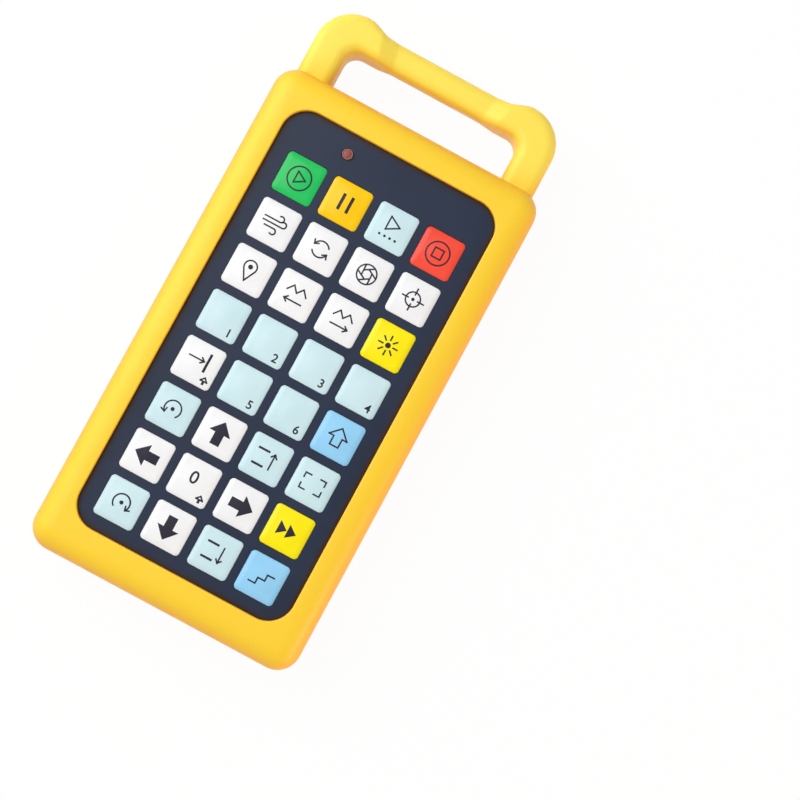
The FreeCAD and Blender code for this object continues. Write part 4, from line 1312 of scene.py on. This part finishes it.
KEYS: dict[str, tuple[KeyColour, Symbol]] = {
    "key_start": (GREEN, [Arc(HUB, 4.2), *TRIANGLE]),
    "key_pause": (AMBER, [Line((x, -2.5), (x, 2.5), 1.1) for x in (-1.6, 1.6)]),
    "key_dry_run": (CYAN, DRY_TRIANGLE + [Dot((x, -3.4), 0.45) for x in (-3, -1, 1, 3)]),
    "key_stop": (RED, [Arc(HUB, 4.2), *SQUARE]),
    "key_air": (WHITE, stream(-4.2, 1.4, 1.5, 1) + stream(-4.2, 3.0, 0, 1) + stream(-3.0, 0.6, -1.5, -1)),
    "key_follow": (WHITE, arc_arrow(25, 130, 2.9, 8, 6) + arc_arrow(205, 130, 2.9, 8, 6)),
    "key_shutter": (WHITE, [Arc(HUB, 3.5), *rays(6, 3.4, 1.7, 80)]),
    "key_aim": (WHITE, [Arc(HUB, 2.6), *rays(4, 1.8, 4.0), Dot(HUB, 0.6)]),
    "key_locate": (WHITE, [Arc((0, 1.2), 2.3, -25, 205), *PIN, Dot((0, 1.2), 0.85)]),
    "key_back": (WHITE, ZIGZAG + arrow((3.2, -2.3), (-3.2, -2.3))),
    "key_forward": (WHITE, ZIGZAG + arrow((-3.2, -2.3), (3.2, -2.3))),
    "key_beam": (YELLOW, [Dot(HUB, 1.0), *rays(8, 2.0, 3.5)]),
    **user_keys(1, 2, 3, 4),
    "key_edge": (WHITE, [Line((2.9, -1.8), (2.9, 4.2), 0.9), *arrow((-3.9, 1.2), (1.7, 1.2)), *SHIFT_MARK]),
    **user_keys(5, 6),
    "key_shift": (BLUE, path(*ARROW_SIDE, *[(-x, y) for x, y in reversed(ARROW_SIDE)])),
    "key_turn_left": (CYAN, [*arc_arrow(-50, 265, 3.0, 6, 14), Dot(HUB, 0.7)]),
    "key_up": (WHITE, bold_arrow(90)),
    "key_raise": (CYAN, LEVELS + arrow((2.2, -2.8), (2.2, 2.8))),
    "key_frame": (CYAN, [line for corner in CORNERS for line in corner]),
    "key_left": (WHITE, bold_arrow(180)),
    "key_zero": (WHITE, [Number("0", (-0.4, 0.9), 4.4), *SHIFT_MARK]),
    "key_right": (WHITE, bold_arrow(0)),
    "key_fast": (YELLOW, [Patch(((x, -2.5), (x + 3.3, 0), (x, 2.5))) for x in (-3.5, 0)]),
    "key_turn_right": (CYAN, [*arc_arrow(230, -265, 3.0, 6, 14), Dot(HUB, 0.7)]),
    "key_down": (WHITE, bold_arrow(-90)),
    "key_lower": (CYAN, LEVELS + arrow((2.2, 2.8), (2.2, -2.8))),
    "key_step": (BLUE, path((-3.8, -2.6), (-1.3, -2.6), (-1.3, -0.4), (1.3, -0.4), (1.3, 1.8), (3.8, 1.8))),
}


@dataclass
class SnapDome:
    """The sprung dome under one key: a shallow shell."""

    key: str
    node: str = "snap_domes"
    foot: float = 5.2
    wall: float = 0.12
    room: float = 0.03
    rings: int = 6
    segments: int = 24

    def arch(self, foot: float, floor: float, crown: float) -> list[Point]:
        """Half of a shallow arch from its crown down to its foot, as radius and height."""
        shares = [ring / self.rings for ring in range(self.rings + 1)]
        return [(foot * share, crown - (crown - floor) * share**2) for share in shares]

    def build(self) -> None:
        """The dome, tied to the handset."""
        floor, crown = (corner.z for corner in box_mm(self.node))
        low, high = box_mm(self.key)
        middle = (low + high) / 2
        outside = self.arch(self.foot, floor, crown)
        inside = self.arch(self.foot - self.wall, floor, crown - self.wall)
        bm = turned(outside + inside[::-1], middle, self.segments)
        dome = settle(new_piece(f"{self.key}_dome", bm, SPRING), HANDSET, "dome_steel", self.node)
        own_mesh(dome)


@dataclass
class StatusLens:
    """The small red window over the lamp: a dome in a turned rim, on the flange that holds it."""

    node: str = "status_lens"
    window: float = 1.85
    rim: float = 0.45
    groove: float = 0.12
    dome: float = 0.3
    dome_steps: int = 7
    flange_thick: float = 1.2
    segments: int = 40

    def build(self) -> None:
        """The lens, turned from its outline."""
        low, high = box_mm(self.node)
        flange = (high.x - low.x) / 2
        top = high.z - self.dome
        inner = self.window - self.rim
        outline = [(sine * inner, top + self.dome * cosine) for sine, cosine in quarter(self.dome_steps)]
        outline += [
            (inner, top - self.groove),
            (inner + self.groove, top - self.groove),
            (inner + self.groove, top + self.groove),
            (self.window - self.groove / 2, top + self.groove),
            (self.window, top),
            (self.window, low.z + self.flange_thick),
            (flange, low.z + self.flange_thick),
            (flange, low.z),
            (0, low.z),
        ]
        bm = turned(outline, (low + high) / 2, self.segments)
        settle(new_piece("status_window", bm, LENS), HANDSET, "lens_red", self.node)


@dataclass
class CaseScrews:
    """The four case screws, with round heads and cross recesses that face the back."""

    node: str = "case_screws"
    head: float = 2.5
    head_height: float = 1.9
    head_edge: float = 0.4
    shank: float = 1.25
    tip: float = 0.2
    cross: float = 1.35
    cross_width: float = 0.42
    cross_depth: float = 1.0
    segments: int = 32

    def screw(self, length: float) -> Mesh:
        """One screw, from the recess in its head to its tip.

        Args:
            length: its length.

        Returns:
            The closed mesh, with the middle of the head's face at the origin.
        """
        bm = bmesh.new()
        radius = self.head - self.head_edge
        bmesh.ops.create_circle(bm, cap_ends=True, segments=self.segments, radius=radius)
        rule_lines(bm, Vector(), [-self.cross, -self.cross_width, self.cross_width, self.cross])
        recess = []
        for face in bm.faces:
            spot = face.calc_center_median()
            near, far = sorted((abs(spot.x), abs(spot.y)))
            if near < self.cross_width and far < self.cross:
                recess.append(face)
        rim = [edge for edge in bm.edges if edge.is_boundary]
        floor = bmesh.ops.extrude_face_region(bm, geom=recess)["geom"]
        bmesh.ops.delete(bm, geom=recess, context="FACES")
        sunk = [part for part in floor if isinstance(part, bmesh.types.BMVert)]
        bmesh.ops.translate(bm, vec=UP * self.cross_depth, verts=sunk)
        outline = [
            (self.head, self.head_edge),
            (self.head, self.head_height),
            (self.shank, self.head_height),
            (self.shank, length - self.shank),
            (self.tip, length),
        ]
        for radius, z in outline:
            ring = bmesh.ops.extrude_edge_only(bm, edges=rim)["geom"]
            rim = [part for part in ring if isinstance(part, bmesh.types.BMEdge)]
            for vert in {vert for edge in rim for vert in edge.verts}:
                flat = Vector((vert.co.x, vert.co.y)).normalized() * radius
                vert.co = (flat.x, flat.y, z)
        bmesh.ops.contextual_create(bm, geom=rim)
        return bm

    def build(self) -> None:
        """All four screws as one piece."""
        low, high = box_mm(self.node)
        one = self.screw(high.z - low.z)
        screws = bmesh.new()
        for x in (low.x + self.head, high.x - self.head):
            for y in (low.y + self.head, high.y - self.head):
                mesh = bpy.data.meshes.new("screw")
                one.to_mesh(mesh)
                mesh.transform(Matrix.Translation((x, y, low.z)))
                screws.from_mesh(mesh)
                bpy.data.meshes.remove(mesh)
        one.free()
        settle(new_piece("case_screws_cross_head", screws, SCREW), HANDSET, "screw_steel", self.node)


# The finish for each of the record's slots that keeps its solids
SLOT_FINISHES: dict[str, Finish] = {
    "case_plastic": CASE,
    "keypad_film": PANEL,
    "spacer_film": SPACER,
    "circuit_film": TAIL,
    "circuit_board": BOARD,
    "chip_plastic": EPOXY,
    "can_steel": TINPLATE,
    "socket_plastic": NYLON,
    "lamp_white": LAMP,
    "contact_nickel": NICKEL,
    "screw_steel": SCREW,
}


@dataclass
class Inside:
    """The solids whose shape is right as it is: they keep their mesh and get their finish."""

    cells: tuple[str, str] = ("battery_cell_left", "battery_cell_right")

    def dress(self) -> None:
        """Gives every solid that is left the finish of its slot."""
        for name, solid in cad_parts.items():
            for place, old in enumerate(solid.data.materials):
                if old.name in SLOT_FINISHES:
                    solid.data.materials[place] = SLOT_FINISHES[old.name].material()
                    log.info("%s is %s", name, solid.data.materials[place].name)
        for name in self.cells:
            sleeve = CellSleeve(f"{name}_sleeve", node=name, plus_up=name == self.cells[0])
            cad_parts[name].data.materials[0] = sleeve.material()
            log.info("%s is %s", name, sleeve.name)


@dataclass(frozen=True)
class Softbox:
    """A square lamp that faces the handset: its place and side in mm, its power in watts."""

    name: str
    place: Point3
    side: float
    power: float
    colour: str = "#FFFFFF"

    def build(self) -> None:
        """Sets up the lamp."""
        lamp = bpy.data.lights.new(self.name, "AREA")
        lamp.color = linear(self.colour)[:3]
        lamp.size = self.side * MM
        lamp.energy = self.power
        stand = bpy.data.objects.new(self.name, lamp)
        stand.location = Vector(self.place) * MM
        stand.rotation_euler = (-Vector(self.place)).to_track_quat("-Z", "Y").to_euler()
        bpy.context.scene.collection.objects.link(stand)


@dataclass
class Studio:
    """A pale floor, soft light from the upper left and the camera. Lengths are in mm."""

    lens: float = 72.0
    sensor: float = 36.0
    camera_place: Point3 = (31.5, -34.4, 574.5)
    camera_target: Point3 = (39.5, -5.44, 28.4)
    camera_up: Point3 = (-0.4762, 0.8785, 0.0396)
    floor_half: float = 3000
    fill: float = 0.505
    lamps: tuple[Softbox, ...] = (
        Softbox("key_light", (-480, 120, 760), 700, 4.35),
        Softbox("side_light", (-800, 150, 320), 500, 2.3),
        Softbox("reflector", (700, -250, 150), 280, 2.2, "#FFDDB8"),
    )

    def floor(self) -> None:
        """A white floor that keeps a light shadow, and lets a look from below through."""
        bm = bmesh.new()
        bmesh.ops.create_grid(bm, x_segments=1, y_segments=1, size=self.floor_half)
        floor = new_piece("floor", bm, PAPER)

    def world(self) -> None:
        """White all round, at full strength only where the camera looks past the floor."""
        world = bpy.data.worlds.new("studio")
        world.use_nodes = True
        bpy.context.scene.world = world
        tree = world.node_tree
        seen = add_node(tree, "ShaderNodeLightPath").outputs["Is Camera Ray"]
        level = add_node(tree, "ShaderNodeMapRange", {"Value": seen, "To Min": self.fill, "To Max": 1.0})
        sky = tree.nodes["Background"]
        sky.inputs["Color"].default_value = linear("#FFFFFF")
        tree.links.new(level.outputs[0], sky.inputs["Strength"])

    def camera(self) -> None:
        """Looks down on the keypad, turned as in the photograph."""
        camera = bpy.data.cameras.new("camera")
        camera.lens = self.lens
        camera.sensor_width = self.sensor
        eye = bpy.data.objects.new("camera", camera)
        place = Vector(self.camera_place) * MM
        back = (place - Vector(self.camera_target) * MM).normalized()
        right = Vector(self.camera_up).cross(back).normalized()
        turn = Matrix((right, back.cross(right), back)).transposed().to_4x4()
        eye.matrix_world = Matrix.Translation(place) @ turn
        bpy.context.scene.collection.objects.link(eye)
        bpy.context.scene.camera = eye

    def build(self) -> None:
        """Sets up the whole studio."""
        self.floor()
        self.world()
        for lamp in self.lamps:
            lamp.build()
        self.camera()
        bpy.context.scene.view_settings.view_transform = "Standard"


def main() -> None:
    """Builds the handset's looks piece by piece."""
    logging.basicConfig(level=logging.INFO, format="%(name)s: %(message)s")
    Jacket().build()
    for node, (colour, symbol) in KEYS.items():
        key = KeyTop(node, colour)
        key.build()
        Legend().print_on(key, symbol)
        SnapDome(node).build()
    StatusLens().build()
    CaseScrews().build()
    Inside().dress()
    Studio().build()


if __name__ == "__main__":
    main()
